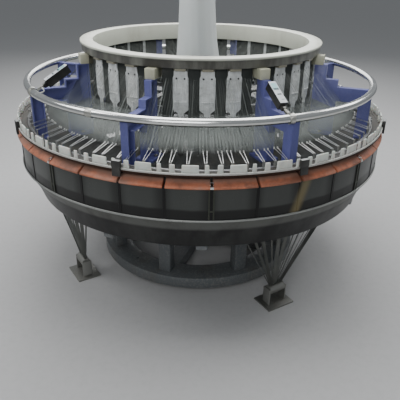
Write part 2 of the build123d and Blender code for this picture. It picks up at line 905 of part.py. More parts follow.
# Centre post, weaving ring and woven tube

def fabric_half_width(level):
    """Half the tube's width across the machine, which narrows as the tube flattens."""
    rise = level - fabric_bottom
    return fabric_radius - fabric_flattening * (1 - exp(-rise / fabric_flattening_length))


def fabric_middle(level):
    """How far the tube has wandered sideways from the weaving axis at a level."""
    return fabric_shift * (1 - exp(-(level - fabric_bottom) / fabric_shift_length))


def fabric_half_depth(level):
    """Half the tube's depth, found from the girth that the weaving ring sets."""
    girth = 2 * pi * fabric_radius
    half_width = fabric_half_width(level)
    depth = fabric_radius
    for _ in range(fabric_girth_rounds):
        h = ((half_width - depth) / (half_width + depth)) ** 2
        length = pi * (half_width + depth) * (1 + 3 * h / (10 + (4 - 3 * h) ** 0.5))
        depth += (girth - length) / 4
    return depth


def fabric_solid(inset):
    """The tube's outline at several levels, joined in one loft."""
    sections = []
    top = rim_top + fabric_top
    for index in range(fabric_section_count):
        level = fabric_bottom + (top - fabric_bottom) * index / (fabric_section_count - 1)
        ellipse = Ellipse(fabric_half_width(level) - inset, fabric_half_depth(level) - inset)
        sections.append(Pos(fabric_middle(level), 0, level) * ellipse)
    return loft(sections)


def fabric_tube():
    return fabric_solid(0) - fabric_solid(fabric_wall)


def centre_post():
    spreader_level = rim_top + fabric_top - spreader_drop
    post = disc(post_radius, hub_floor, spreader_level + spreader_thickness)
    inset = fabric_wall + seat_gap
    level = spreader_level + spreader_thickness
    plate = Ellipse(fabric_half_width(level) - inset, fabric_half_depth(level) - inset - 2 * seat_gap)
    return post + Pos(fabric_middle(level), 0, spreader_level) * extrude(plate, spreader_thickness)


def weaving_ring():
    top = rim_top + weaving_ring_top
    bottom = top - weaving_ring_height
    body = ring(weaving_ring_inner_radius, weaving_ring_outer_radius, bottom, top)
    body += disc(weaving_hub_radius, bottom, top)
    for index in range(shuttle_count):
        reach = (weaving_ring_inner_radius + weaving_ring_outer_radius) / 2
        body += place(index * 360 / shuttle_count) * block(0, reach, weaving_spoke_width, bottom, top)
    return body - disc(post_radius + fit_gap, bottom, top)


# Warp and dancer arms

def dancer_arms():
    outer = rim_inner_radius - seat_gap
    inner = outer - dancer_rail_width
    top = rim_top + dancer_rail_top
    rail = ring(inner, outer, table_top, top)
    wires = []
    clear = bracket_width / 2 + dancer_bracket_gap
    for bay, azimuth in enumerate(bay_azimuths):
        for index in range(dancer_per_bay):
            offset_angle = (index + 0.5 - dancer_per_bay / 2) * bay_pitch / dancer_per_bay
            if bay % bays_per_bracket == 0 and abs(radians(offset_angle)) * dancer_tip_radius < clear:
                continue
            start = polar(outer - dancer_rail_width / 2, azimuth + offset_angle, top - dancer_root_depth)
            end = polar(dancer_tip_radius, azimuth + offset_angle, rim_top + dancer_tip_height)
            wires.append(strip(start, end, dancer_wire, dancer_wire))
    return rail + wires


def warp_tapes():
    comb_outer = rim_outer_radius - rim_lip_width - seat_gap
    comb_edge = comb_outer - comb_band_width
    eye_level = rim_top + heald_eye_height
    ring_level = rim_top + weaving_ring_top + seat_gap + tape_thickness
    tapes = []
    for azimuth in bay_azimuths:
        for index in range(tapes_per_bay):
            angle = azimuth + bay_pitch / 2 + (index - (tapes_per_bay - 1) / 2) * tape_spread
            comb_point = polar(comb_edge + tape_comb_overlap, angle, rim_top + comb_band_height + tape_thickness)
            outer_eye = polar(belt_front + outer_eye_gap, angle, eye_level)
            inner_eye = polar(belt_back - inner_eye_gap, angle, eye_level)
            fell = polar(fabric_radius + seat_gap + tape_thickness, angle, ring_level)
            tapes.append(strip(comb_point, outer_eye, tape_width, tape_thickness))
            tapes.append(strip(inner_eye, fell, tape_width, tape_thickness))
    end_gap = seat_gap + fan_tape_thickness / 4
    foot_level = guide_roller_height + guide_roller_radius + end_gap
    spread = guide_roller_length - 2 * fan_tape_width
    for guide in range(guide_count):
        middle = guide_azimuth + guide * 360 / guide_count
        sideways = Vector(cos(radians(middle)), sin(radians(middle)), 0)
        for index in range(fan_count):
            share = index / (fan_count - 1) - 0.5
            foot = polar(guide_radius, middle, foot_level) + sideways * (share * spread)
            head = polar(fan_top_radius, middle + 2 * share * fan_half_angle, table_bottom - end_gap)
            tapes.append(strip(foot, head, fan_tape_width, fan_tape_thickness))
    return tapes


def floor_guide(azimuth):
    lower = (Align.CENTER, Align.CENTER, Align.MIN)
    body = Box(guide_plate_length, guide_plate_width, guide_plate_thickness, align=lower)
    cheek_height = guide_roller_height + guide_roller_radius / 2
    for side in (-1, 1):
        middle = side * (guide_roller_length + guide_cheek_thickness) / 2
        body += Pos(0, middle, 0) * Box(2 * guide_roller_radius, guide_cheek_thickness, cheek_height, align=lower)
    body += Pos(0, 0, guide_roller_height) * Rot(90, 0, 0) * Cylinder(guide_roller_radius, guide_roller_length)
    return place(azimuth) * Pos(guide_radius, 0, 0) * body


# Write every sub-part

save("levelling_feet", *[levelling_foot(azimuth) for azimuth in bracket_azimuths])
save("base_frame", base_frame())
save("columns", *lower_columns(), *upper_columns())
save("lower_deck", lower_deck())
save("machine_table", machine_table())
save("rim_ring", rim_ring())
save("rim_segments", *[rim_segment(azimuth) for azimuth in bay_azimuths])
save("skirt_panels", *[skirt_panel(azimuth) for azimuth in bay_azimuths])
save("lower_cone", lower_cone())
save("comb_ring", comb_ring())
save("rim_clips", *[rim_clip(azimuth) for azimuth in bracket_azimuths])

for number, azimuth in enumerate(bracket_azimuths, start=1):
    save(f"bracket_{number}", bracket(azimuth))
save("bracket_bolts", *[bolt for azimuth in bracket_azimuths for bolt in bracket_bolts(azimuth)])

save("tube_ring", tube_ring())
leads = [sensor_lead(azimuth) for azimuth in sensor_azimuths]
save("tube_clamps", tube_sleeve(), *[sensor_clamp(azimuth) for azimuth in sensor_azimuths], *leads)
for number, azimuth in enumerate(sensor_azimuths, start=1):
    save(f"sensor_{number}", sensor(azimuth))

save("top_ring", top_ring())
save("heald_plates", *[heald_plate(azimuth) for bay, azimuth in enumerate(bay_azimuths) if bay % bays_per_bracket])
for index in range(belt_set_count):
    save(f"heald_belts_{index + 1}", *heald_belt_set(index))

save("reed_rings", reed_ring(reed_lower_level), reed_ring(reed_upper_level + reed_ring_height))
save("reed_wires", *reed_wires())

save("main_shaft", main_shaft())
save("main_bearings", bearing(base_bottom + base_hub_height), bearing(table_top))
save("shuttle_spider", shuttle_spider())
save("cam_drum", cam_drum())
save("driven_pulley", driven_pulley())
save("motor_pulley", motor_pulley())
save("drive_belts", *drive_belts())
save("motor", motor())
for number, azimuth in enumerate(shuttle_azimuths, start=1):
    save(f"shuttle_{number}", shuttle(azimuth))
    save(f"bobbin_{number}", bobbin(azimuth))

save("centre_post", centre_post())
save("weaving_ring", weaving_ring())
save("fabric_tube", fabric_tube())
save("dancer_arms", dancer_arms())
save("warp_tapes", *warp_tapes())
save("floor_guides", *[floor_guide(guide_azimuth + guide * 360 / guide_count) for guide in range(guide_count)])
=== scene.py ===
"""Looks of a circular loom, built round its packed construction frame."""

import json
import logging
import math
from dataclasses import dataclass
from enum import Enum
from typing import Callable, Iterable, Sequence

import bmesh
import bpy
from mathutils import Matrix, Vector


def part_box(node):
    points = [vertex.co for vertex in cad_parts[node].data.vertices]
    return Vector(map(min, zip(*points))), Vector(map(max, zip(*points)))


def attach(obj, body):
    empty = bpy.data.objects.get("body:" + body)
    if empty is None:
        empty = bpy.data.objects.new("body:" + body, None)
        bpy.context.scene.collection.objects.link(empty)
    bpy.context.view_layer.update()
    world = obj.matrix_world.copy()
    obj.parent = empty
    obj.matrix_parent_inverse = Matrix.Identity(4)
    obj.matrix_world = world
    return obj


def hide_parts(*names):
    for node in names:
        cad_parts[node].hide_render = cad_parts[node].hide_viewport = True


LOG = logging.getLogger("circular_loom")
Colour = tuple[float, float, float]
Point = tuple[float, float, float]


def grey(value: float) -> Colour:
    """Return an even grey of one brightness."""
    return (value, value, value)


def scaled(colour: Colour, factor: float) -> Colour:
    """Return a colour with each channel times a factor."""
    return tuple(channel * factor for channel in colour)


@dataclass(frozen=True)
class Layout:
    """Where things lie round the weaving axis, in metres and degrees from the front."""

    rim_top: float
    table_top: float
    bays: int = 32
    bays_per_bracket: int = 4
    first_bracket: float = 25.5

    @property
    def pitch(self) -> float:
        """Return the angle of one bay."""
        return 360 / self.bays

    @property
    def brackets(self) -> int:
        """Return the number of brackets."""
        return self.bays // self.bays_per_bracket

    @property
    def bracket_azimuths(self) -> list[float]:
        """Return the azimuths of the brackets."""
        return [self.first_bracket + bay * self.pitch for bay in range(0, self.bays, self.bays_per_bracket)]

    def at_bays(self, offset: float = 0.0) -> dict[str, float]:
        """Return a ring's inputs for a copy in every bay, turned by an offset in degrees."""
        return dict(Count=self.bays, First_turn=self.first_bracket + offset - 90, Step=self.pitch)

    def at_brackets(self, offset: float = 0.0) -> dict[str, float]:
        """Return a ring's inputs for a copy at every bracket, turned by an offset in degrees."""
        return dict(Count=self.brackets, First_turn=self.first_bracket + offset - 90, Step=360 / self.brackets)

    def between_brackets(self) -> dict[str, float]:
        """Return a ring's inputs for a copy in every bay that has no bracket."""
        return dict(self.at_bays(), Skip_every=self.bays_per_bracket, Skip_offset=0)


def link(thing: bpy.types.Object) -> None:
    """Put an object into the scene."""
    bpy.context.scene.collection.objects.link(thing)


def polar(radius: float, azimuth: float, level: float) -> Vector:
    """Return the point at a radius, azimuth and level.

    Args:
        radius: Distance from the weaving axis in metres.
        azimuth: Degrees from the front, growing to the right.
        level: Height above the floor in metres.

    Returns:
        The point in the shared frame.
    """
    angle = math.radians(azimuth)
    return Vector((radius * math.sin(angle), -radius * math.cos(angle), level))


def turn(azimuth: float) -> Matrix:
    """Return the turn that takes local X outwards at an azimuth."""
    return Matrix.Rotation(math.radians(azimuth - 90), 4, "Z")


class Channel:
    """A varying number in a material, with arithmetic that adds Math nodes."""

    def __init__(self, net: "Net", socket: bpy.types.NodeSocket) -> None:
        """Keep the net that the socket belongs to, and the socket."""
        self.net = net
        self.socket = socket

    def _math(self, operation: str, first: "Channel | float", second: "Channel | float" = 0.0) -> "Channel":
        """Add one Math node and return its result."""
        node = self.net.node("ShaderNodeMath", {"operation": operation}, {0: first, 1: second})
        return Channel(self.net, node.outputs[0])

    def __add__(self, other: "Channel | float") -> "Channel":
        """Return the sum."""
        return self._math("ADD", self, other)

    def __radd__(self, other: float) -> "Channel":
        """Return the sum, reflected."""
        return self._math("ADD", other, self)

    def __sub__(self, other: "Channel | float") -> "Channel":
        """Return the difference."""
        return self._math("SUBTRACT", self, other)

    def __rsub__(self, other: float) -> "Channel":
        """Return the difference, reflected."""
        return self._math("SUBTRACT", other, self)

    def __mul__(self, other: "Channel | float") -> "Channel":
        """Return the product."""
        return self._math("MULTIPLY", self, other)

    def __truediv__(self, other: "Channel | float") -> "Channel":
        """Return the quotient."""
        return self._math("DIVIDE", self, other)

    def power(self, exponent: float) -> "Channel":
        """Return this value raised to a power."""
        return self._math("POWER", self, exponent)

    def sine(self) -> "Channel":
        """Return the sine of this value."""
        return self._math("SINE", self)

    def wrap(self, step: float) -> "Channel":
        """Return the positive remainder after division by a step."""
        return self._math("FLOORED_MODULO", self, step)

    def distance(self, other: float) -> "Channel":
        """Return how far this value is from a number."""
        return self._math("ABSOLUTE", self - other)

    def smooth(self, low: float, high: float) -> "Channel":
        """Return 0 below low, 1 above high, and a soft step between them."""
        settings = {"interpolation_type": "SMOOTHSTEP"}
        node = self.net.node("ShaderNodeMapRange", settings, {"Value": self, "From Min": low, "From Max": high})
        return Channel(self.net, node.outputs[0])


class Tree:
    """A tree of nodes, of a material or of a modifier."""

    def __init__(self, tree: bpy.types.NodeTree) -> None:
        """Keep the tree that nodes are added to."""
        self.tree = tree

    def node(self, kind: str, settings: dict | None = None, values: dict | None = None) -> bpy.types.Node:
        """Add a node.

        Args:
            kind: The node's type.
            settings: Properties of the node, set before its sockets.
            values: A value or a link for each socket, by its name or number.

        Returns:
            The new node.
        """
        node = self.tree.nodes.new(kind)
        for name, value in (settings or {}).items():
            setattr(node, name, value)
        for key, value in (values or {}).items():
            source = value.socket if isinstance(value, Channel) else value
            if isinstance(source, bpy.types.NodeSocket):
                self.tree.links.new(source, node.inputs[key])
            else:
                node.inputs[key].default_value = source
        return node


class Net(Tree):
    """The node tree of one material."""

    def __init__(self, name: str) -> None:
        """Start an empty material of that name."""
        self.material = bpy.data.materials.new(name)
        self.material.use_nodes = True
        super().__init__(self.material.node_tree)
        self.tree.nodes.clear()
        self.place = self.node("ShaderNodeTexCoord").outputs["Object"]

    def axes(self) -> tuple[Channel, Channel, Channel]:
        """Return the X, Y and Z of Object coordinates."""
        split = self.node("ShaderNodeSeparateXYZ", values={0: self.place})
        return tuple(Channel(self, output) for output in split.outputs)

    def level(self) -> Channel:
        """Return the height above the floor."""
        return self.axes()[2]

    def radius(self) -> Channel:
        """Return the distance from the weaving axis."""
        x, y, _ = self.axes()
        return (x * x + y * y).power(0.5)

    def azimuth(self) -> Channel:
        """Return the angle round the axis in degrees, from the front towards the right."""
        x, y, _ = self.axes()
        node = self.node("ShaderNodeMath", {"operation": "ARCTAN2"}, {0: x, 1: y * -1.0})
        return Channel(self, node.outputs[0]) * (180 / math.pi)

    def noise(self, scale: float, detail: float = 3.0, stretch: Point = (1, 1, 1), rough: float = 0.55) -> Channel:
        """Return a noise of a scale in cycles a metre.

        Args:
            scale: Cycles a metre.
            detail: Octaves.
            stretch: How much closer the pattern is along each axis.
            rough: How strong the fine octaves are.

        Returns:
            The noise, from 0 to 1.
        """
        mapped = self.node("ShaderNodeMapping", values={"Vector": self.place, "Scale": stretch})
        values = {"Vector": mapped.outputs[0], "Scale": scale, "Detail": detail, "Roughness": rough}
        return Channel(self, self.node("ShaderNodeTexNoise", values=values).outputs[0])

    def mix(self, mask: "Channel | float", first: object, second: object) -> bpy.types.NodeSocket:
        """Return a colour between two, by a mask."""
        settings = {"data_type": "RGBA"}
        colours = [(*c, 1.0) if isinstance(c, tuple) else c for c in (first, second)]
        node = self.node("ShaderNodeMix", settings, {0: mask, 6: colours[0], 7: colours[1]})
        return node.outputs[2]

    def bump(self, height: Channel, distance: float, strength: float = 1.0) -> bpy.types.NodeSocket:
        """Return a normal from a height that is 0 to 1 over a distance in metres."""
        values = {"Height": height, "Distance": distance, "Strength": strength}
        return self.node("ShaderNodeBump", values=values).outputs[0]

    def surface(self, **sockets: object) -> bpy.types.Material:
        """Close the material with a Principled shader.

        Args:
            sockets: Values or links, named as the shader's sockets with underscores for spaces.

        Returns:
            The finished material.
        """
        values = {}
        for name, value in sockets.items():
            title = name.replace("_", " ")
            values[title] = (*value, 1.0) if isinstance(value, tuple) and len(value) == 3 else value
        shader = self.node("ShaderNodeBsdfPrincipled", values=values)
        self.node("ShaderNodeOutputMaterial", values={"Surface": shader.outputs[0]})
        return self.material


@dataclass(frozen=True)
class Enamel:
    """Brushed or sprayed machine paint with dust, grime and small chips, and a painted shade below a level where one is
    given.
    """

    name: str
    colour: Colour
    grime: Colour = (0.10, 0.085, 0.06)
    under: Colour = (0.16, 0.15, 0.14)
    dust: Colour = (0.42, 0.41, 0.38)
    roughness: float = 0.38
    coat: float = 0.3
    dusty: float = 0.35
    dirty: float = 0.4
    chipped: float = 0.12
    orange_peel: float = 0.00012
    specular: float = 0.5
    # The next four give a painted shade below a level and outside a radius, with some grime on the cream ring: its
    # colour, upper and lower levels, and radius.
    shade_and_grime: Colour = (0.1, 0.1, 0.1)
    shade_and_grime_top: float = -1.0
    shade_and_grime_bottom: float = -2.0
    shade_and_grime_radius: float = 0.0

    def build(self) -> bpy.types.Material:
        """Return the material."""
        net = Net(self.name)
        cloud = net.noise(3.1, 4.0)
        smear = net.noise(7.0, 5.0, (1, 1, 0.3), 0.6)
        speck = net.noise(85.0, 2.0)
        chip = (net.noise(34.0, 5.0, rough=0.7) * 0.7 + cloud * 0.3).smooth(0.69 - self.chipped * 0.3, 0.71)
        faded = net.mix(cloud * 0.35, self.colour, scaled(self.colour, 0.82))
        grimy = net.mix(smear.smooth(0.45, 0.8) * self.dirty, faded, self.grime)
        dusted = net.mix(speck.smooth(0.4, 0.9) * cloud * self.dusty, grimy, self.dust)
        colour = net.mix(chip * min(1.0, self.chipped * 6), dusted, self.under)
        # Painted shade, with some grime on the cream ring: below the given level and outside the given radius the paint
        # darkens, where shade falls under an overhang.
        if self.shade_and_grime_top > 0:
            level = net.level()
            below = 1.0 - level.smooth(self.shade_and_grime_bottom, self.shade_and_grime_top)
            outside = net.radius().smooth(self.shade_and_grime_radius - 0.004, self.shade_and_grime_radius)
            colour = net.mix(below * outside * (smear.smooth(0.3, 0.62) * 0.25 + 0.75), colour, self.shade_and_grime)
        rough = self.roughness + smear * 0.18 + chip * 0.2
        height = net.noise(420.0, 1.0) * 0.5 + (1.0 - chip) * 0.5
        return net.surface(Base_Color=colour, Roughness=rough, Specular_IOR_Level=self.specular,
                           Coat_Weight=self.coat, Coat_Roughness=0.2, Normal=net.bump(height, self.orange_peel))


@dataclass(frozen=True)
class Metal:
    """Bare metal, from mirror bright to dull cast."""

    name: str
    colour: Colour
    roughness: float
    stain: Colour = (0.18, 0.15, 0.12)
    stained: float = 0.25
    grain: Point = (1, 1, 1)
    grain_scale: float = 120.0
    grain_depth: float = 0.00006
    # Colour of the painted shade and dark reflection on a tube's underside, used below the level that follows.
    grime: Colour = (0.05, 0.05, 0.046)
    underside_shade_top: float = -1.0

    def build(self) -> bpy.types.Material:
        """Return the material."""
        net = Net(self.name)
        cloud = net.noise(5.0, 4.0)
        grain = net.noise(self.grain_scale, 3.0, self.grain)
        mask = (cloud * 0.6 + grain * 0.4).smooth(0.5, 0.78) * self.stained
        colour = net.mix(mask, self.colour, self.stain)
        # Painted shade: below a level near the tube's middle the metal darkens, a painted shadow and dark reflection on
        # its underside.
        if self.underside_shade_top > 0:
            level = net.level()
            below = 1.0 - (level + cloud * 0.004).smooth(self.underside_shade_top - 0.006, self.underside_shade_top + 0.002)
            colour = net.mix(below * 0.85, colour, self.grime)
        rough = self.roughness + mask * 0.35 + grain * (self.roughness * 0.4)
        return net.surface(Base_Color=colour, Roughness=rough, Metallic=1.0 - mask * 0.6,
                           Normal=net.bump(grain, self.grain_depth))


@dataclass(frozen=True)
class Plastic:
    """Moulded plastic or rubber with a fine grain, handling marks and dust."""

    name: str
    colour: Colour
    roughness: float = 0.5
    dust: Colour = (0.45, 0.44, 0.40)
    dusty: float = 0.3
    shade: float = 0.75
    grain_depth: float = 0.00008
    see_through: float = 0.0
    soak: float = 0.0
    foot: Colour = (0.05, 0.05, 0.046)
    foot_top: float = -1.0

    def build(self) -> bpy.types.Material:
        """Return the material."""
        net = Net(self.name)
        cloud = net.noise(6.0, 4.0)
        patch = net.noise(24.0, 4.0, rough=0.65)
        grain = net.noise(650.0, 2.0)
        worn = net.mix(patch.smooth(0.4, 0.75), self.colour, scaled(self.colour, self.shade))
        colour = net.mix(cloud.smooth(0.4, 0.8) * self.dusty, worn, self.dust)
        if self.foot_top > 0:
            level = net.level()
            above = (level + patch * 0.03).smooth(self.foot_top - 0.03, self.foot_top + 0.03)
            colour = net.mix((1.0 - above) * 0.92, colour, self.foot)
        return net.surface(Base_Color=colour, Roughness=self.roughness + patch * 0.15, Alpha=1.0 - self.see_through,
                           Subsurface_Weight=self.soak, Normal=net.bump(grain, self.grain_depth))


@dataclass(frozen=True)
class TapeFilm:
    """Sheer tapes side by side, nearly clear above and milky near the rim, with irregular denser streaks."""

    name: str
    colour: Colour
    start: tuple[float, float]
    milky_level: float
    clear_level: float
    thin: float = 0.012
    thick: float = 0.30
    streaks: float = 1.3
    milky: float = 0.85

    def build(self) -> bpy.types.Material:
        """Return the material."""
        net = Net(self.name)
        node = net.node("ShaderNodeTexNoise", {"noise_dimensions": "1D"},
                        {"W": net.azimuth(), "Scale": self.streaks, "Detail": 3.0})
        streak = Channel(net, node.outputs[0]).smooth(0.5, 0.78)
        patch = net.noise(4.0, 2.0)
        level = net.level()
        near_rim = 1.0 - (level + patch * 0.10).smooth(self.milky_level, self.clear_level)
        film = near_rim * level.smooth(*self.start) * self.milky
        alpha = streak * (patch * 0.8 + 0.4) * (self.thick - self.thin) + self.thin + film
        colour = net.mix(patch, self.colour, scaled(self.colour, 0.8))
        return net.surface(Base_Color=colour, Roughness=0.35, Alpha=alpha)


@dataclass(frozen=True)
class SkirtPaint:
    """Dark glossy paint of the skirt and its posts, with smeared oil, painted shade beside the seams and one brown
    stain.
    """

    name: str
    colour: Colour
    bottom: float
    top: float
    first_seam: float = 25.5
    seam_pitch: float = 11.25
    stain_azimuth: float = 24.5
    stain_lean: float = 3.1
    stain: Colour = (0.19, 0.155, 0.075)
    dust: Colour = (0.17, 0.17, 0.155)

    def build(self) -> bpy.types.Material:
        """Return the material."""
        net = Net(self.name)
        level = net.level()
        cloud = net.noise(2.6, 3.0)
        drag = net.noise(9.0, 4.0, (1, 1, 0.12), 0.6)
        speck = net.noise(140.0, 2.0)
        height = (level - self.bottom) / (self.top - self.bottom)
        foot = (1.0 - height.smooth(0.0, 0.55)) * drag
        lean = net.azimuth() - height * self.stain_lean
        streak = (1.0 - lean.distance(self.stain_azimuth).smooth(0.2, 2.3)) * (0.35 + drag * 0.9)
        beside = (net.azimuth() - self.first_seam + cloud * 1.2).wrap(self.seam_pitch).distance(self.seam_pitch / 2)
        base = net.mix(cloud * 0.6, self.colour, scaled(self.colour, 2.1))
        dusted = net.mix(speck.smooth(0.62, 0.8) * 0.2 + drag * 0.1, base, self.dust)
        oiled = net.mix((1.0 - (height + drag * 0.08).smooth(0.33, 0.42)) * 0.85, dusted, grey(0.005))
        # Painted shade: the paint darkens towards each seam, where shade falls between the panels.
        shaded = net.mix(beside.smooth(2.6, 5.6) * 0.65, oiled, grey(0.006))
        colour = net.mix(streak * 0.8, shaded, self.stain)
        rough = 0.24 + drag * 0.22 + foot * 0.3
        return net.surface(Base_Color=colour, Roughness=rough, Specular_IOR_Level=0.25, Coat_Weight=0.12,
                           Coat_Roughness=0.12, Normal=net.bump(drag, 0.0004))


@dataclass(frozen=True)
class ShelfPlastic:
    """Orange shelf moulding, smeared brown and dirtiest along its upper inner edge."""

    name: str
    colour: Colour
    top: float
    dirt: Colour = (0.15, 0.075, 0.052)
    dust: Colour = (0.30, 0.20, 0.16)

    def build(self) -> bpy.types.Material:
        """Return the material."""
        net = Net(self.name)
        level = net.level()
        blotch = net.noise(5.0, 5.0, rough=0.62)
        scuff = net.noise(30.0, 5.0, (1, 1, 2.5), 0.7)
        upper = (level + scuff * 0.012).smooth(self.top - 0.014, self.top + 0.003)
        faded = net.mix(scuff.smooth(0.4, 0.75) * 0.6, self.colour, scaled(self.colour, 0.55))
        dusted = net.mix(blotch.smooth(0.46, 0.66) * 0.75, faded, self.dust)
        dirty = net.mix(blotch.smooth(0.52, 0.36) * 0.75, dusted, self.dirt)
        colour = net.mix(upper * (blotch * 0.9 + 0.3), dirty, self.dust)
        return net.surface(Base_Color=colour, Roughness=0.40 + scuff * 0.2, Specular_IOR_Level=0.35,
                           Normal=net.bump(scuff, 0.0004))


@dataclass(frozen=True)
class WovenCloth:
    """Flat tapes woven over and under each other, on the piece's own UV map in metres."""

    name: str
    colour: Colour
    tape: float = 0.0029
    shine: float = 0.35

    def build(self) -> bpy.types.Material:
        """Return the material."""
        net = Net(self.name)
        uv = net.node("ShaderNodeUVMap")
        split = net.node("ShaderNodeSeparateXYZ", values={0: uv.outputs[0]})
        across = Channel(net, split.outputs[0]) / self.tape
        along = Channel(net, split.outputs[1]) / self.tape
        warp = (across * math.pi).sine()
        weft = (along * math.pi).sine()
        over = (warp * weft).smooth(-0.35, 0.35)
        arches = [axis.wrap(1.0).distance(0.5) * -1.6 + 1.0 for axis in (across, along)]
        crown = over * arches[0] + (1.0 - over) * arches[1]
        pair = net.node("ShaderNodeTexNoise", {"noise_dimensions": "1D"},
                        {"W": across.wrap(400.0) * 0.9, "Scale": 1.0, "Detail": 1.0})
        tone = Channel(net, pair.outputs[0])
        cloud = net.noise(2.2, 3.0, (1, 1, 0.5))
        light = net.mix(tone.smooth(0.3, 0.7) * 0.35, self.colour, scaled(self.colour, 0.86))
        # Painted shade: each tape is darker at its edges and where it dips under the crossing tape than on its crown.
        colour = net.mix(crown.smooth(0.1, 0.75) * 0.6 + cloud * 0.35, scaled(self.colour, 0.78), light)
        rough = self.shine + over * 0.12 + cloud * 0.1
        return net.surface(Base_Color=colour, Roughness=rough, Sheen_Weight=0.15, Subsurface_Weight=0.05,
                           Normal=net.bump(crown, 0.0006, 0.8))


@dataclass(frozen=True)
class WoundYarn:
    """Tape yarn wound crosswise on a bobbin whose axis lies at one azimuth."""

    name: str
    colour: Colour
    azimuth: float

    def build(self) -> bpy.types.Material:
        """Return the material."""
        net = Net(self.name)
        spun = net.node("ShaderNodeMapping",
                        values={"Vector": net.place, "Rotation": (0, 0, -math.radians(self.azimuth))})
        split = net.node("ShaderNodeSeparateXYZ", values={0: spun.outputs[0]})
        along = Channel(net, split.outputs[0])
        lift = Channel(net, split.outputs[2])
        lay = ((along + lift * 0.18) * (2 * math.pi / 0.0032)).sine()
        cross = ((along - lift * 0.22) * (2 * math.pi / 0.0041)).sine()
        height = lay * 0.3 + cross * 0.2 + 0.5
        cloud = net.noise(30.0, 3.0)
        # Painted shade: the grooves between the wound turns are darker than the ridges.
        colour = net.mix(height.smooth(0.2, 0.8) * 0.7 + cloud * 0.3, scaled(self.colour, 0.62), self.colour)
        return net.surface(Base_Color=colour, Roughness=0.45, Normal=net.bump(height, 0.0008))


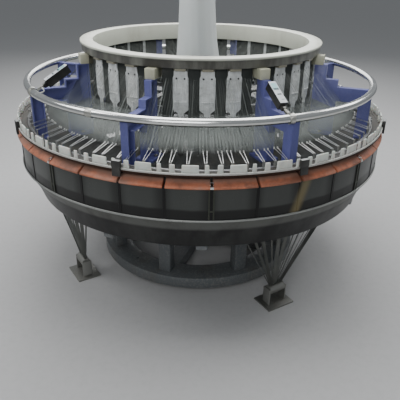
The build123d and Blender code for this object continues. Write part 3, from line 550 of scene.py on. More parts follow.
class Finishes:
    """Every finish of the loom, built once each."""

    def __init__(self, layout: Layout) -> None:
        """Build the materials."""
        skirt_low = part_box("skirt_panels")[0][2]
        self.frame = Enamel("frame_enamel", (0.10, 0.11, 0.115), dusty=0.5, dirty=0.6).build()
        self.table = Enamel("table_enamel", (0.040, 0.043, 0.041), dust=(0.13, 0.13, 0.12), dusty=0.65,
                            dirty=0.5, roughness=0.5, specular=0.3, coat=0.05).build()
        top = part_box("top_ring")[1][2]
        # Cream ring: its apron and outer edge darken below the top, a painted shade under the flange with some grime.
        self.cream = Enamel("cream_enamel", (0.645, 0.665, 0.57), grime=(0.26, 0.22, 0.14), dusty=0.15, dirty=0.3,
                            chipped=0.1, roughness=0.33, shade_and_grime=(0.036, 0.034, 0.027), shade_and_grime_top=top - 0.004,
                            shade_and_grime_bottom=top - 0.016, shade_and_grime_radius=0.715).build()
        self.cream_low = Enamel("grimy_cream", (0.33, 0.31, 0.23), grime=(0.12, 0.09, 0.06), dirty=0.8, dusty=0.3,
                                chipped=0.2).build()
        self.cream_block = Enamel("block_cream", (0.52, 0.52, 0.39), grime=(0.20, 0.16, 0.10), dirty=0.45,
                                  dusty=0.2).build()
        self.blue = Enamel("blue_enamel", (0.094, 0.104, 0.30), grime=(0.04, 0.045, 0.10), dust=(0.30, 0.32, 0.45),
                           dusty=0.3, dirty=0.5, chipped=0.07).build()
        # Grey cone: darkened from a little below the skirt hoop downwards, a painted shade on its downward-facing lower
        # part.
        self.grey_paint = Enamel("grey_ring_enamel", (0.092, 0.095, 0.088), grime=(0.025, 0.022, 0.018),
                                 dust=(0.13, 0.13, 0.12), dusty=0.5, dirty=0.6, coat=0.08, specular=0.3,
                                 shade_and_grime=grey(0.008), shade_and_grime_top=layout.rim_top - 0.292,
                                 shade_and_grime_bottom=layout.rim_top - 0.318, shade_and_grime_radius=0.5).build()
        self.motor = Enamel("motor_enamel", (0.10, 0.15, 0.17), dusty=0.4).build()
        self.orange = ShelfPlastic("orange_rim_plastic", (0.545, 0.180, 0.094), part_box("rim_segments")[1][2]).build()
        self.skirt = SkirtPaint("skirt_paint", (0.034, 0.037, 0.035), skirt_low, layout.table_top).build()
        self.comb = Plastic("comb_plastic", (0.68, 0.71, 0.66), dusty=0.25, shade=0.8, roughness=0.4,
                            soak=0.08).build()
        self.plate = Plastic("plate_plastic", (0.71, 0.74, 0.735), dust=(0.36, 0.35, 0.31), dusty=0.45,
                             shade=0.66, roughness=0.42, foot_top=layout.rim_top + 0.105).build()
        self.black = Plastic("black_plastic", grey(0.012), roughness=0.4, dusty=0.12).build()
        self.rubber = Plastic("heald_belt_rubber", (0.013, 0.018, 0.016), roughness=0.62, dusty=0.12).build()
        self.vee_belt = Plastic("vee_belt_rubber", grey(0.015), roughness=0.7, dusty=0.2).build()
        self.shuttle = Plastic("shuttle_plastic", (0.16, 0.17, 0.18), roughness=0.45, dusty=0.3).build()
        self.face = Plastic("sensor_face", (0.61, 0.64, 0.67), roughness=0.35, dusty=0.15).build()
        self.window = Plastic("sensor_window", (0.26, 0.51, 0.53), roughness=0.2, dusty=0.1).build()
        self.marking = Plastic("sensor_marking", (0.012, 0.035, 0.045), roughness=0.3, dusty=0.05).build()
        self.holder = Plastic("blade_holder", (0.20, 0.205, 0.20), roughness=0.45, dusty=0.5).build()
        self.white = Plastic("white_lead", (0.66, 0.67, 0.64), roughness=0.4, dusty=0.15).build()
        rim = layout.rim_top
        start = (rim + 0.050, rim + 0.100)
        self.tape = TapeFilm("warp_tape", (0.42, 0.46, 0.43), start, rim + 0.12, rim + 0.27, thick=0.27,
                             milky=0.18).build()
        self.low_tape = TapeFilm("low_warp_tape", (0.42, 0.46, 0.44), start, rim + 0.12, rim + 0.25, thin=0.015,
                                 thick=0.32, streaks=1.9, milky=0.20).build()
        self.inner_tape = TapeFilm("inner_warp_tape", (0.42, 0.46, 0.43), start, rim + 0.05, rim + 0.30,
                                   thick=0.16, milky=0.08).build()
        # The floor fans' tapes are the warp tapes, given a much darker colour: a painted shade for their place under
        # the skirt, with dust on them.
        self.shaded_fan_tape = Plastic("floor_tape", (0.085, 0.09, 0.083), dust=(0.20, 0.20, 0.18), roughness=0.45,
                                 dusty=0.5, see_through=0.1).build()
        tube_low, tube_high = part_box("tube_ring")
        # The polished tube is darkened below its middle: a painted shade and dark reflection on its underside.
        self.polished = Metal("polished_tube", (0.75, 0.76, 0.745), 0.14, stain=(0.14, 0.13, 0.11), stained=0.5,
                              grain=(1, 1, 6), underside_shade_top=(tube_low[2] + tube_high[2]) / 2 - 0.006).build()
        self.lip = Metal("turned_lip", (0.57, 0.57, 0.54), 0.46, stained=0.35).build()
        self.hoop = Metal("skirt_hoop_steel", (0.365, 0.375, 0.36), 0.36, stain=(0.05, 0.05, 0.045),
                          stained=0.9).build()
        self.post = SkirtPaint("seam_post_paint", grey(0.002), skirt_low, layout.table_top, dust=grey(0.02)).build()
        self.strap = Enamel("seam_strap_enamel", (0.035, 0.040, 0.030), dust=(0.12, 0.12, 0.10), dusty=0.5,
                            coat=0.05, specular=0.3).build()
        self.rim_dark = Enamel("rim_shade", (0.045, 0.042, 0.036), dust=(0.16, 0.14, 0.11), dirty=0.5,
                               dusty=0.6).build()
        # Dark band under the lip: rust, and a painted shadow under the lip.
        self.rust_and_shade = Enamel("rusty_edge", (0.035, 0.016, 0.010), grime=(0.02, 0.01, 0.008),
                           under=(0.05, 0.025, 0.015), dust=(0.10, 0.06, 0.045), coat=0.0, specular=0.2,
                           roughness=0.6).build()
        self.cast = Metal("cast_clamp", (0.54, 0.54, 0.50), 0.32, stained=0.40, grain_depth=0.0002).build()
        self.steel = Metal("ground_steel", (0.46, 0.46, 0.46), 0.3, stained=0.35).build()
        self.bright = Metal("spring_wire", (0.78, 0.79, 0.78), 0.28, stained=0.15).build()
        self.zinc = Metal("zinc_plate", (0.30, 0.30, 0.28), 0.42, stained=0.6).build()
        self.iron = Enamel("rotor_iron", (0.08, 0.085, 0.09), dusty=0.3, dirty=0.7, roughness=0.45).build()
        self.cloth = WovenCloth("woven_tape_cloth", (0.785, 0.815, 0.81)).build()


class Shape:
    """Points and faces of a shape, gathered before they become a mesh."""

    def __init__(self) -> None:
        """Start empty."""
        self.points: list[Vector] = []
        self.faces: list[tuple[int, ...]] = []

    def _add(self, points: Iterable[Vector], faces: Iterable[Sequence[int]]) -> None:
        """Add points, and faces that count from the first of them."""
        start = len(self.points)
        self.points.extend(Vector(point) for point in points)
        self.faces.extend(tuple(start + index for index in face) for face in faces)

    def grid(self, rows: Sequence[Sequence[Vector]], close_rows: bool, close_columns: bool) -> "Shape":
        """Add a skin over rows of points.

        Args:
            rows: Rows with as many points each.
            close_rows: Whether the last row joins the first.
            close_columns: Whether each row's last point joins its first.

        Returns:
            This shape.
        """
        count = len(rows[0])
        faces = []
        for row in range(len(rows) if close_rows else len(rows) - 1):
            after = (row + 1) % len(rows)
            for column in range(count if close_columns else count - 1):
                beside = (column + 1) % count
                faces.append((row * count + column, row * count + beside, after * count + beside, after * count + column))
        if close_columns and not close_rows:
            faces.append(tuple(reversed(range(count))))
            faces.append(tuple((len(rows) - 1) * count + column for column in range(count)))
        self._add([point for row in rows for point in row], faces)
        return self

    def lathe(self, profile: Sequence[tuple[float, float]], steps: int) -> "Shape":
        """Add a closed profile of radius and level, turned once round the axis."""
        rows = [[polar(radius, 360 * step / steps, level) for radius, level in profile] for step in range(steps)]
        return self.grid(rows, True, True)

    def box(self, low: Point, high: Point) -> "Shape":
        """Add a box between two corners."""
        x = (low[0], high[0])
        y = (low[1], high[1])
        rows = [[Vector((x[0], y[0], z)), Vector((x[1], y[0], z)), Vector((x[1], y[1], z)), Vector((x[0], y[1], z))]
                for z in (low[2], high[2])]
        return self.grid(rows, False, True)

    def sweep(self, path: Sequence[Vector], section: Callable[[int, Vector, Vector, Vector], list[Vector]]) -> "Shape":
        """Add a section carried along a path.

        Args:
            path: Points of the path.
            section: Gives the section's points from the index, the place, the side and the normal there.

        Returns:
            This shape.
        """
        rows = []
        for index, place in enumerate(path):
            ahead = path[min(index + 1, len(path) - 1)] - path[max(index - 1, 0)]
            side = ahead.cross(Vector((0, 0, 1)))
            side = side.normalized() if side.length > 1e-6 else Vector((1, 0, 0))
            rows.append(section(index, place, side, side.cross(ahead).normalized()))
        return self.grid(rows, False, True)

    def ribbon(self, path: Sequence[Vector], width: float, thickness: float) -> "Shape":
        """Add a flat tape along a path."""
        def section(_: int, place: Vector, side: Vector, normal: Vector) -> list[Vector]:
            """Return the tape's four corners at one place."""
            across = side * (width / 2)
            up = normal * (thickness / 2)
            return [place - across - up, place + across - up, place + across + up, place - across + up]
        return self.sweep(path, section)

    def wire(self, path: Sequence[Vector], radius: float, sides: int = 6) -> "Shape":
        """Add a round wire along a path."""
        def section(_: int, place: Vector, side: Vector, normal: Vector) -> list[Vector]:
            """Return the wire's ring of points at one place."""
            angles = [2 * math.pi * index / sides for index in range(sides)]
            return [place + (side * math.cos(angle) + normal * math.sin(angle)) * radius for angle in angles]
        return self.sweep(path, section)

    def moved(self, matrix: Matrix) -> "Shape":
        """Move every point by a matrix."""
        self.points = [matrix @ point for point in self.points]
        return self

    def join(self, other: "Shape") -> "Shape":
        """Add another shape's points and faces."""
        self._add(other.points, other.faces)
        return self

    def mesh(self, name: str, bevel: float = 0.0, segments: int = 2) -> bpy.types.Mesh:
        """Make the mesh, with its normals outwards and its edges rounded.

        Args:
            name: The mesh's name.
            bevel: Radius of the rounding in metres, or 0.
            segments: Faces across each rounding.

        Returns:
            The mesh.
        """
        data = bpy.data.meshes.new(name)
        data.from_pydata(self.points, [], self.faces)
        work = bmesh.new()
        work.from_mesh(data)
        bmesh.ops.recalc_face_normals(work, faces=work.faces)
        if bevel:
            sharp = [edge for edge in work.edges if edge.is_manifold and edge.calc_face_angle() > math.radians(25)]
            bmesh.ops.bevel(work, geom=sharp, offset=bevel, segments=segments, profile=0.5, affect="EDGES",
                            clamp_overlap=True)
        work.to_mesh(data)
        work.free()
        return data


def smooth(mesh: bpy.types.Mesh, sharp_angle: float = 35) -> bpy.types.Mesh:
    """Shade a mesh smooth, apart from edges sharper than an angle in degrees."""
    mesh.polygons.foreach_set("use_smooth", [True] * len(mesh.polygons))
    mesh.set_sharp_from_angle(angle=math.radians(sharp_angle))
    return mesh


def piece(name: str, mesh: bpy.types.Mesh, material: bpy.types.Material, body: str, slot: str,
          replaces: Sequence[str] = ()) -> bpy.types.Object:
    """Put a finished mesh into the scene as one piece.

    Args:
        name: The piece's name.
        mesh: Its mesh, already in place.
        material: Its finish.
        body: The body that it rides on.
        slot: The record's material slot; not used.
        replaces: CAD nodes that it stands for.

    Returns:
        The new object.
    """
    smooth(mesh)
    thing = bpy.data.objects.new(name, mesh)
    link(thing)
    if not mesh.materials:
        mesh.materials.append(material)
    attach(thing, body)
    if replaces:
        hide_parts(*replaces)
    LOG.info("%s: %d faces on %s", name, len(mesh.polygons), body)
    return thing


def turned(name: str, profile: Sequence[tuple[float, float]], material: bpy.types.Material, slot: str,
           rounding: tuple[float, int] = (0.0, 2), replaces: Sequence[str] = (), steps: int = 256) -> None:
    """Turn a profile once round the weaving axis, as one piece of the frame.

    Args:
        name: The piece's name.
        profile: The closed profile, as radius and level.
        material: Its finish.
        slot: The record's material slot.
        rounding: Radius of its edges in metres, and the faces across each.
        replaces: CAD nodes that it stands for.
        steps: Faces once round.
    """
    piece(name, Shape().lathe(profile, steps).mesh(name, *rounding), material, "frame", slot, replaces)


class RingOf(Tree):
    """Geometry Nodes that repeat one shape round the axis."""

    INPUTS = (
        ("Shape", "NodeSocketObject", None), ("Count", "NodeSocketInt", 32), ("First turn", "NodeSocketFloat", 0.0),
        ("Step", "NodeSocketFloat", 11.25), ("Skip every", "NodeSocketInt", 100000), ("Skip offset", "NodeSocketInt", 1),
        ("Turn jitter", "NodeSocketFloat", 0.0), ("Lift jitter", "NodeSocketFloat", 0.0),
        ("Reach jitter", "NodeSocketFloat", 0.0), ("Seed", "NodeSocketInt", 7), ("Finish", "NodeSocketMaterial", None),
    )

    def __init__(self) -> None:
        """Build the tree once."""
        super().__init__(bpy.data.node_groups.new("ring_of_shapes", "GeometryNodeTree"))
        self.sockets: dict[str, str] = {}
        for name, kind, value in self.INPUTS:
            socket = self.tree.interface.new_socket(name=name, in_out="INPUT", socket_type=kind)
            if value is not None:
                socket.default_value = value
            self.sockets[name] = socket.identifier
        self.tree.interface.new_socket(name="Geometry", in_out="OUTPUT", socket_type="NodeSocketGeometry")
        self._build()

    def _math(self, operation: str, first: object, second: object) -> bpy.types.NodeSocket:
        """Add a Math node and return its result."""
        return self.node("ShaderNodeMath", {"operation": operation}, {0: first, 1: second}).outputs[0]

    def _jitter(self, amount: bpy.types.NodeSocket, seed: bpy.types.NodeSocket, shift: int) -> bpy.types.NodeSocket:
        """Return a random number between minus and plus an amount."""
        low = self._math("MULTIPLY", amount, -1.0)
        seeded = self._math("ADD", seed, float(shift))
        node = self.node("FunctionNodeRandomValue", {"data_type": "FLOAT"}, {2: low, 3: amount, 8: seeded})
        return node.outputs[1]

    def _build(self) -> None:
        """Add the nodes."""
        given = self.node("NodeGroupInput").outputs
        points = self.node("GeometryNodePoints", values={"Count": given["Count"]})
        index = self.node("GeometryNodeInputIndex").outputs[0]
        angle = self._math("ADD", self._math("MULTIPLY", index, given["Step"]), given["First turn"])
        angle = self._math("ADD", angle, self._jitter(given["Turn jitter"], given["Seed"], 1))
        spin = self.node("ShaderNodeCombineXYZ", values={2: self._math("RADIANS", angle, 0.0)})
        rotation = self.node("FunctionNodeEulerToRotation", values={0: spin.outputs[0]})
        shift = self.node("ShaderNodeCombineXYZ", values={
            0: self._jitter(given["Reach jitter"], given["Seed"], 2),
            2: self._jitter(given["Lift jitter"], given["Seed"], 3)})
        place = self._math("FLOORED_MODULO", self._math("ADD", index, given["Skip offset"]), given["Skip every"])
        kept = self.node("FunctionNodeCompare", {"data_type": "FLOAT", "operation": "GREATER_THAN"}, {0: place, 1: 0.5})
        shape = self.node("GeometryNodeObjectInfo", {"transform_space": "ORIGINAL"}, {"Object": given["Shape"]})
        copies = self.node("GeometryNodeInstanceOnPoints", values={
            "Points": points.outputs[0], "Selection": kept.outputs[0],
            "Instance": shape.outputs["Geometry"], "Rotation": rotation.outputs[0]})
        moved = self.node("GeometryNodeTranslateInstances", values={
            "Instances": copies.outputs[0], "Translation": shift.outputs[0], "Local Space": True})
        real = self.node("GeometryNodeRealizeInstances", values={0: moved.outputs[0]})
        dressed = self.node("GeometryNodeSetMaterial", values={0: real.outputs[0], "Material": given["Finish"]})
        self.node("NodeGroupOutput", values={0: dressed.outputs[0]})

    def mesh(self, name: str, shape: bpy.types.Mesh, finish: bpy.types.Material, **values: float) -> bpy.types.Mesh:
        """Repeat a shape, and return the result as a plain mesh.

        Args:
            name: The result's name.
            shape: The shape, with local X outwards and its radius and level in its points.
            finish: The material of every copy.
            values: Inputs of the tree, with underscores for spaces.

        Returns:
            The joined mesh.
        """
        model = bpy.data.objects.new(name + "_shape", shape)
        carrier = bpy.data.objects.new(name + "_carrier", bpy.data.meshes.new(name + "_carrier"))
        for thing in (model, carrier):
            link(thing)
        modifier = carrier.modifiers.new("ring", "NODES")
        modifier.node_group = self.tree
        modifier[self.sockets["Shape"]] = model
        modifier[self.sockets["Finish"]] = finish
        for key, value in values.items():
            modifier[self.sockets[key.replace("_", " ")]] = value
        graph = bpy.context.evaluated_depsgraph_get()
        result = bpy.data.meshes.new_from_object(carrier.evaluated_get(graph))
        result.name = name
        carrier.modifiers.remove(modifier)
        for thing in (model, carrier):
            bpy.data.objects.remove(thing)
        return result

    def repeat(self, name: str, shape: bpy.types.Mesh, finish: bpy.types.Material, slot: str,
               replaces: Sequence[str] = (), **values: float) -> None:
        """Repeat a shape round the axis, as one piece of the frame.

        Args:
            name: The piece's name.
            shape: The shape, with local X outwards.
            finish: The material of every copy.
            slot: The record's material slot.
            replaces: CAD nodes that the piece stands for.
            values: Inputs of the tree, with underscores for spaces.
        """
        piece(name, self.mesh(name, shape, finish, **values), finish, "frame", slot, replaces)


def outline_mesh(name: str, outer: Sequence[tuple[float, float]], holes: Sequence[Sequence[tuple[float, float]]],
                 front: float, back: float, rounding: float) -> bpy.types.Mesh:
    """Make an upright plate facing outwards, from outlines of side and level.

    Args:
        name: The mesh's name.
        outer: The outline, as side and level.
        holes: Outlines of the holes.
        front: Radius of the outer face.
        back: Radius of the inner face.
        rounding: Radius of the edges.

    Returns:
        The mesh, with local X outwards.
    """
    curve = bpy.data.curves.new(name, "CURVE")
    curve.dimensions = "2D"
    curve.fill_mode = "BOTH"
    curve.extrude = (front - back) / 2 - rounding
    curve.bevel_depth = rounding
    curve.bevel_resolution = 1
    curve.offset = -rounding
    for outline in (outer, *holes):
        spline = curve.splines.new("POLY")
        spline.points.add(len(outline) - 1)
        for point, (side, level) in zip(spline.points, outline):
            point.co = (side, level, 0, 1)
        spline.use_cyclic_u = True
    holder = bpy.data.objects.new(name, curve)
    link(holder)
    graph = bpy.context.evaluated_depsgraph_get()
    mesh = bpy.data.meshes.new_from_object(holder.evaluated_get(graph))
    bpy.data.objects.remove(holder)
    middle = (front + back) / 2
    mesh.transform(Matrix(((0, 0, 1, middle), (1, 0, 0, 0), (0, 1, 0, 0), (0, 0, 0, 1))))
    work = bmesh.new()
    work.from_mesh(mesh)
    bmesh.ops.remove_doubles(work, verts=work.verts, dist=1e-6)
    bmesh.ops.recalc_face_normals(work, faces=work.faces)
    work.to_mesh(mesh)
    work.free()
    return mesh


def circle(side: float, level: float, radius: float, count: int = 14) -> list[tuple[float, float]]:
    """Return a round outline about a side and level."""
    angles = [2 * math.pi * index / count for index in range(count)]
    return [(side + radius * math.cos(angle), level + radius * math.sin(angle)) for angle in angles]


@dataclass
class Rim:
    """Rim ring, orange shelf, comb ring, clips, skirt hoop and lower ring."""

    layout: Layout
    finishes: Finishes
    ring: RingOf
    outer: float = 1.160
    inner: float = 1.098
    wall: float = 0.008
    top_thickness: float = 0.006
    lip_width: float = 0.007
    lip_low: float = 0.003
    lip_height: float = 0.014
    skirt: float = 1.150
    shelf_outer: float = 1.165
    comb_band: float = 0.026
    comb_height: float = 0.052
    tooth_depth: float = 0.009
    tooth_inset: float = 0.002
    seat_gap: float = 0.0003
    seam: float = 0.32
    slope_reach: float = 0.042
    slope_foot: float = 0.011
    post_width: float = 0.015
    teeth: tuple[tuple[float, float], ...] = ((-5.0, 0.078), (-1.2, 0.018), (2.1, 0.024))

    def build(self) -> None:
        """Make every piece of the rim."""
        self.rim_ring()
        self.segments()
        self.posts()
        self.comb()
        self.clips()
        self.lower_ring()

    def rim_ring(self) -> None:
        """Make the dark rim ring, the bright turned lip on its edge, and the dark band under the lip, a painted shade
        with rust.
        """
        foot = self.layout.table_top
        top = self.layout.rim_top
        under = top - self.top_thickness
        seat = self.outer - self.lip_width
        body = [(self.inner, foot), (self.inner + self.wall, foot), (self.inner + self.wall, under),
                (seat, under), (seat, top), (self.inner, top)]
        turned("rim_ring_turned", body, self.finishes.rim_dark, "rim_metal", (0.001, 1), ["rim_ring"])
        low = top + self.lip_low
        high = top + self.lip_height
        lip = [(seat, low), (self.outer, low), (self.outer, high), (seat, high)]
        turned("rim_lip", lip, self.finishes.lip, "rim_metal", (0.0030, 3))
        # The dark band in the gap under the lip is rust and a painted shadow under the lip.
        edge = self.outer - 0.002
        shade = [(seat, under), (edge, under), (edge, low - 0.0002), (seat, low - 0.0002)]
        turned("rim_lip_shade", shade, self.finishes.rust_and_shade, "rim_metal", (0.0004, 1))

    def segments(self) -> None:
        """Make the orange shelf segments with a sloped outer face, and the wire hooks at some seams."""
        inner = self.inner + self.wall + self.seat_gap
        outer = self.shelf_outer
        low = self.layout.table_top
        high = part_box("rim_segments")[1][2]
        shoulder = outer - self.slope_reach
        profile = [(inner, low), (outer - 0.003, low), (outer, low + 0.003), (outer, low + self.slope_foot - 0.002),
                   (outer - 0.002, low + self.slope_foot), (shoulder + 0.003, high - 0.0015), (shoulder, high),
                   (inner, high)]
        steps = 10
        half = self.layout.pitch / 2
        rows = []
        for step in range(steps + 1):
            share = step / steps * 2 - 1
            angle = math.radians(share * (half - self.seam))
            rows.append([Vector((radius * math.cos(angle), radius * math.sin(angle), level))
                         for radius, level in profile])
        shape = Shape().grid(rows, False, True).mesh("segment", 0.0018, 2)
        self.ring.repeat("rim_segments_moulded", shape, self.finishes.orange, "orange_plastic", ["rim_segments"],
                         Seed=21, **self.layout.at_bays(half))
        bridge = high - 0.009
        bend = ((outer - 0.008, -0.007, bridge - 0.008), (outer - 0.022, -0.008, bridge),
                (outer - 0.022, 0.008, bridge), (outer - 0.008, 0.007, bridge - 0.008))
        hook = Shape().wire([Vector(point) for point in bend], 0.0018)
        hook.join(Shape().box((outer - 0.0100, -0.0080, low + 0.004),
                              (outer + 0.0012, 0.0080, low + self.slope_foot + 0.004)))
        self.ring.repeat("segment_hooks", hook.mesh("hook"), self.finishes.bright, "zinc_steel",
                         **self.layout.at_brackets(2 * self.layout.pitch))

    def posts(self) -> None:
        """Make a dark post behind each seam of the skirt, and straps beside the seams that carry a hook."""
        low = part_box("lower_cone")[1][2] + 0.0065
        high = self.layout.table_top - 0.001
        half = self.post_width / 2
        post = Shape().box((self.skirt - 0.001, -half, low), (self.skirt + 0.0025, half, high))
        self.ring.repeat("skirt_posts", post.mesh("post", 0.001, 1), self.finishes.post, "skirt_panel",
                         **self.layout.at_bays())
        strap = Shape()
        for left, right in ((-self.post_width, -half), (half, self.post_width)):
            strap.box((self.skirt + 0.0020, left, low + 0.001), (self.skirt + 0.0055, right, high - 0.002))
        strap.box((self.skirt + 0.0022, -self.post_width + 0.001, low + 0.044),
                  (self.skirt + 0.0050, self.post_width - 0.001, low + 0.052))
        self.ring.repeat("skirt_straps", strap.mesh("strap", 0.0008, 1), self.finishes.strap, "skirt_panel",
                         **self.layout.at_brackets(2 * self.layout.pitch))

    def comb(self) -> None:
        """Make the dark comb band and its pale rounded teeth."""
        base = self.layout.rim_top
        edge = self.outer - self.lip_width - self.seat_gap
        back = edge - self.comb_band
        band = [(back, base), (edge, base), (edge, base + 0.006), (back, base + 0.006)]
        turned("comb_band", band, self.finishes.rim_dark, "comb_plastic", (0.001, 1))
        work = bmesh.new()
        outer = edge - self.tooth_inset
        for number, (offset, width) in enumerate(self.teeth):
            shape = self.tooth(outer, width, base).mesh("tooth", 0.0034, 3)
            teeth = self.ring.mesh("teeth", shape, self.finishes.comb, Turn_jitter=0.18, Lift_jitter=0.0012,
                                   Seed=11 + number, **self.layout.at_bays(offset))
            work.from_mesh(teeth)
        whole = bpy.data.meshes.new("comb")
        work.to_mesh(whole)
        work.free()
        whole.materials.append(self.finishes.comb)
        piece("comb_ring_moulded", whole, self.finishes.comb, "frame", "comb_plastic", ["comb_ring"])

    def tooth(self, outer: float, width: float, base: float) -> Shape:
        """Return one tooth with a flared foot and stiffening ribs behind a wide one.

        Args:
            outer: Radius of its outer face.
            width: Width at the top.
            base: Level of its foot.

        Returns:
            The tooth's shape.
        """
        half = width / 2
        inner = outer - self.tooth_depth
        rows = []
        for level, flare in ((0.0055, 0.003), (self.comb_height * 0.55, 0.0012), (self.comb_height, 0.0)):
            rows.append([Vector((x, side, base + level)) for x, side in (
                (inner, -half - flare), (outer, -half - flare), (outer, half + flare), (inner, half + flare))])
        tooth = Shape().grid(rows, False, True)
        if half > 0.02:
            for side in (-half * 0.5, half * 0.5):
                tooth.box((inner - 0.010, side - 0.003, base + 0.0055), (inner + 0.001, side + 0.003, base + 0.030))
        return tooth

    def clips(self) -> None:
        """Make the black clips that hold the rim, each with a bright plate on top."""
        top = self.layout.rim_top
        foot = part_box("rim_segments")[1][2] + 0.0005
        high = top + 0.050
        outer = self.outer + self.seat_gap
        seat = self.outer - self.lip_width
        clip = Shape().box((seat, -0.023, top + self.lip_height + 0.0003), (outer + 0.012, 0.023, high))
        clip.box((outer, -0.0215, foot), (outer + 0.012, 0.0215, top + self.lip_height + 0.002))
        self.ring.repeat("rim_clips_moulded", clip.mesh("clip", 0.0022, 2), self.finishes.black, "black_clip",
                         ["rim_clips"], **self.layout.at_brackets())
        plate = Shape().box((seat + 0.001, -0.020, high - 0.0002), (outer + 0.010, 0.020, high + 0.0012))
        self.ring.repeat("clip_plates", plate.mesh("plate", 0.0005, 1), self.finishes.bright, "zinc_steel",
                         **self.layout.at_brackets())

    def lower_ring(self) -> None:
        """Make the dark conical ring with its bright hoop."""
        low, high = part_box("lower_cone")
        hoop_top = high[2]
        hoop_low = hoop_top - 0.0055
        hoop_high = hoop_top + 0.0060
        knee = self.layout.rim_top - 0.345
        seat = hoop_low - 0.0005
        profile = [(self.skirt - inset, level) for inset, level in (
            (0.112, low[2]), (0.086, low[2]), (0.058, knee), (0.0, seat), (0.010, seat), (0.063, knee),
            (0.091, low[2] + 0.006), (0.112, low[2] + 0.006))]
        turned("lower_ring_pressed", profile, self.finishes.grey_paint, "grey_paint", (0.002, 2), ["lower_cone"])
        hoop = [(self.skirt + reach, level) for reach, level in (
            (-0.010, hoop_low), (0.004, hoop_low), (0.006, hoop_low + 0.002), (0.006, hoop_high - 0.002),
            (0.004, hoop_high), (0.0006, hoop_high), (0.0006, hoop_top - 0.0005), (-0.010, hoop_top - 0.0005))]
        turned("skirt_hoop", hoop, self.finishes.hoop, "rim_metal", (0.0012, 1))


@dataclass
class Crown:
    """Cream top ring with lugs, and the heald plates under it."""

    layout: Layout
    finishes: Finishes
    ring: RingOf
    inner: float = 0.667
    outer: float = 0.744
    wall: float = 0.008
    flange: float = 0.014
    apron: float = 0.736
    apron_height: float = 0.041
    plate_front: float = 0.711
    plate_back: float = 0.705
    screw_rise: float = 0.346
    screw_sides: tuple[float, float] = (-0.021, 0.021)

    def build(self) -> None:
        """Make the ring, its lugs and the plates."""
        low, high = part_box("top_ring")
        top = high[2]
        bottom = top - 0.105
        under = top - self.flange
        apron_low = under - self.apron_height
        apron_in = self.apron - self.wall
        skin = self.inner + self.wall
        profile = [(self.inner, bottom), (skin, bottom), (skin, under), (apron_in, under), (apron_in, apron_low),
                   (self.apron, apron_low), (self.apron, under), (self.outer, under), (self.outer, top),
                   (self.inner, top)]
        turned("top_ring_spun", profile, self.finishes.cream, "cream_paint", (0.003, 3), ["top_ring"])
        seat = skin + 0.0005
        lug = Shape().box((seat, -0.030, self.layout.rim_top + 0.386), (apron_in - 0.0005, 0.030, under - 0.0005))
        self.ring.repeat("plate_lugs", lug.mesh("lug", 0.003, 2), self.finishes.cream_low, "cream_paint",
                         **self.layout.between_brackets())
        block = Shape().box((seat, -0.028, low[2]), (apron_in - 0.0005, 0.028, under - 0.0005))
        block.box((0.690, -0.028, low[2]), (0.772, 0.028, apron_low - 0.0005))
        self.ring.repeat("bracket_lugs", block.mesh("block", 0.003, 2), self.finishes.cream_block, "cream_paint",
                         **self.layout.at_brackets())
        self.plates()
        self.plate_fittings()

    def plates(self) -> None:
        """Make the heald plates, each with raised ribs and two holes."""
        rim = self.layout.rim_top
        table = self.layout.table_top
        outline = [(-0.016, table), (0.016, table), (0.016, rim + 0.164), (0.041, rim + 0.184), (0.041, rim + 0.350),
                   (0.035, rim + 0.362), (0.035, rim + 0.386), (-0.035, rim + 0.386), (-0.035, rim + 0.362),
                   (-0.041, rim + 0.350), (-0.041, rim + 0.184), (-0.016, rim + 0.164)]
        holes = [circle(side, rim + self.screw_rise, 0.0052) for side in self.screw_sides]
        plate = outline_mesh("plate", outline, holes, self.plate_front, self.plate_back, 0.0012)
        work = bmesh.new()
        work.from_mesh(plate)
        ribs = Shape()
        for left, right, low, high, thickness in (
                (-0.036, 0.036, rim + 0.222, rim + 0.228, 0.005), (-0.0375, -0.0335, rim + 0.215, rim + 0.332, 0.0035),
                (0.0335, 0.0375, rim + 0.215, rim + 0.332, 0.0035), (-0.020, 0.020, rim + 0.268, rim + 0.300, 0.0025),
                (-0.006, 0.006, table, rim + 0.200, 0.004)):
            ribs.box((self.plate_front - 0.0005, left, low), (self.plate_front + thickness, right, high))
        work.from_mesh(ribs.mesh("ribs", 0.001, 1))
        work.to_mesh(plate)
        work.free()
        self.ring.repeat("heald_plates_moulded", plate, self.finishes.plate, "plate_plastic", ["heald_plates"],
                         **self.layout.between_brackets())

    def plate_fittings(self) -> None:
        """Make the two screws in each plate's holes, and the dark guides behind it."""
        rim = self.layout.rim_top
        screw = Shape()
        for side in self.screw_sides:
            ends = [Vector((radius, side, rim + self.screw_rise))
                    for radius in (self.plate_back + 0.001, self.plate_front - 0.0012)]
            screw.wire(ends, 0.0049, 14)
        self.ring.repeat("plate_screws", screw.mesh("screw"), self.finishes.black, "zinc_steel",
                         **self.layout.between_brackets())
        guide = Shape()
        for left, right in ((-0.0375, -0.0125), (0.0125, 0.0375)):
            guide.box((self.plate_back - 0.0055, left, rim + 0.190), (self.plate_back - 0.0003, right, rim + 0.352))
        self.ring.repeat("plate_guides", guide.mesh("guide", 0.001, 1), self.finishes.rubber, "belt_rubber",
                         **self.layout.between_brackets())


class Shed(Enum):
    """Which way the healds hold a group of warp tapes."""

    UPPER = 0.345
    LOWER = 0.150


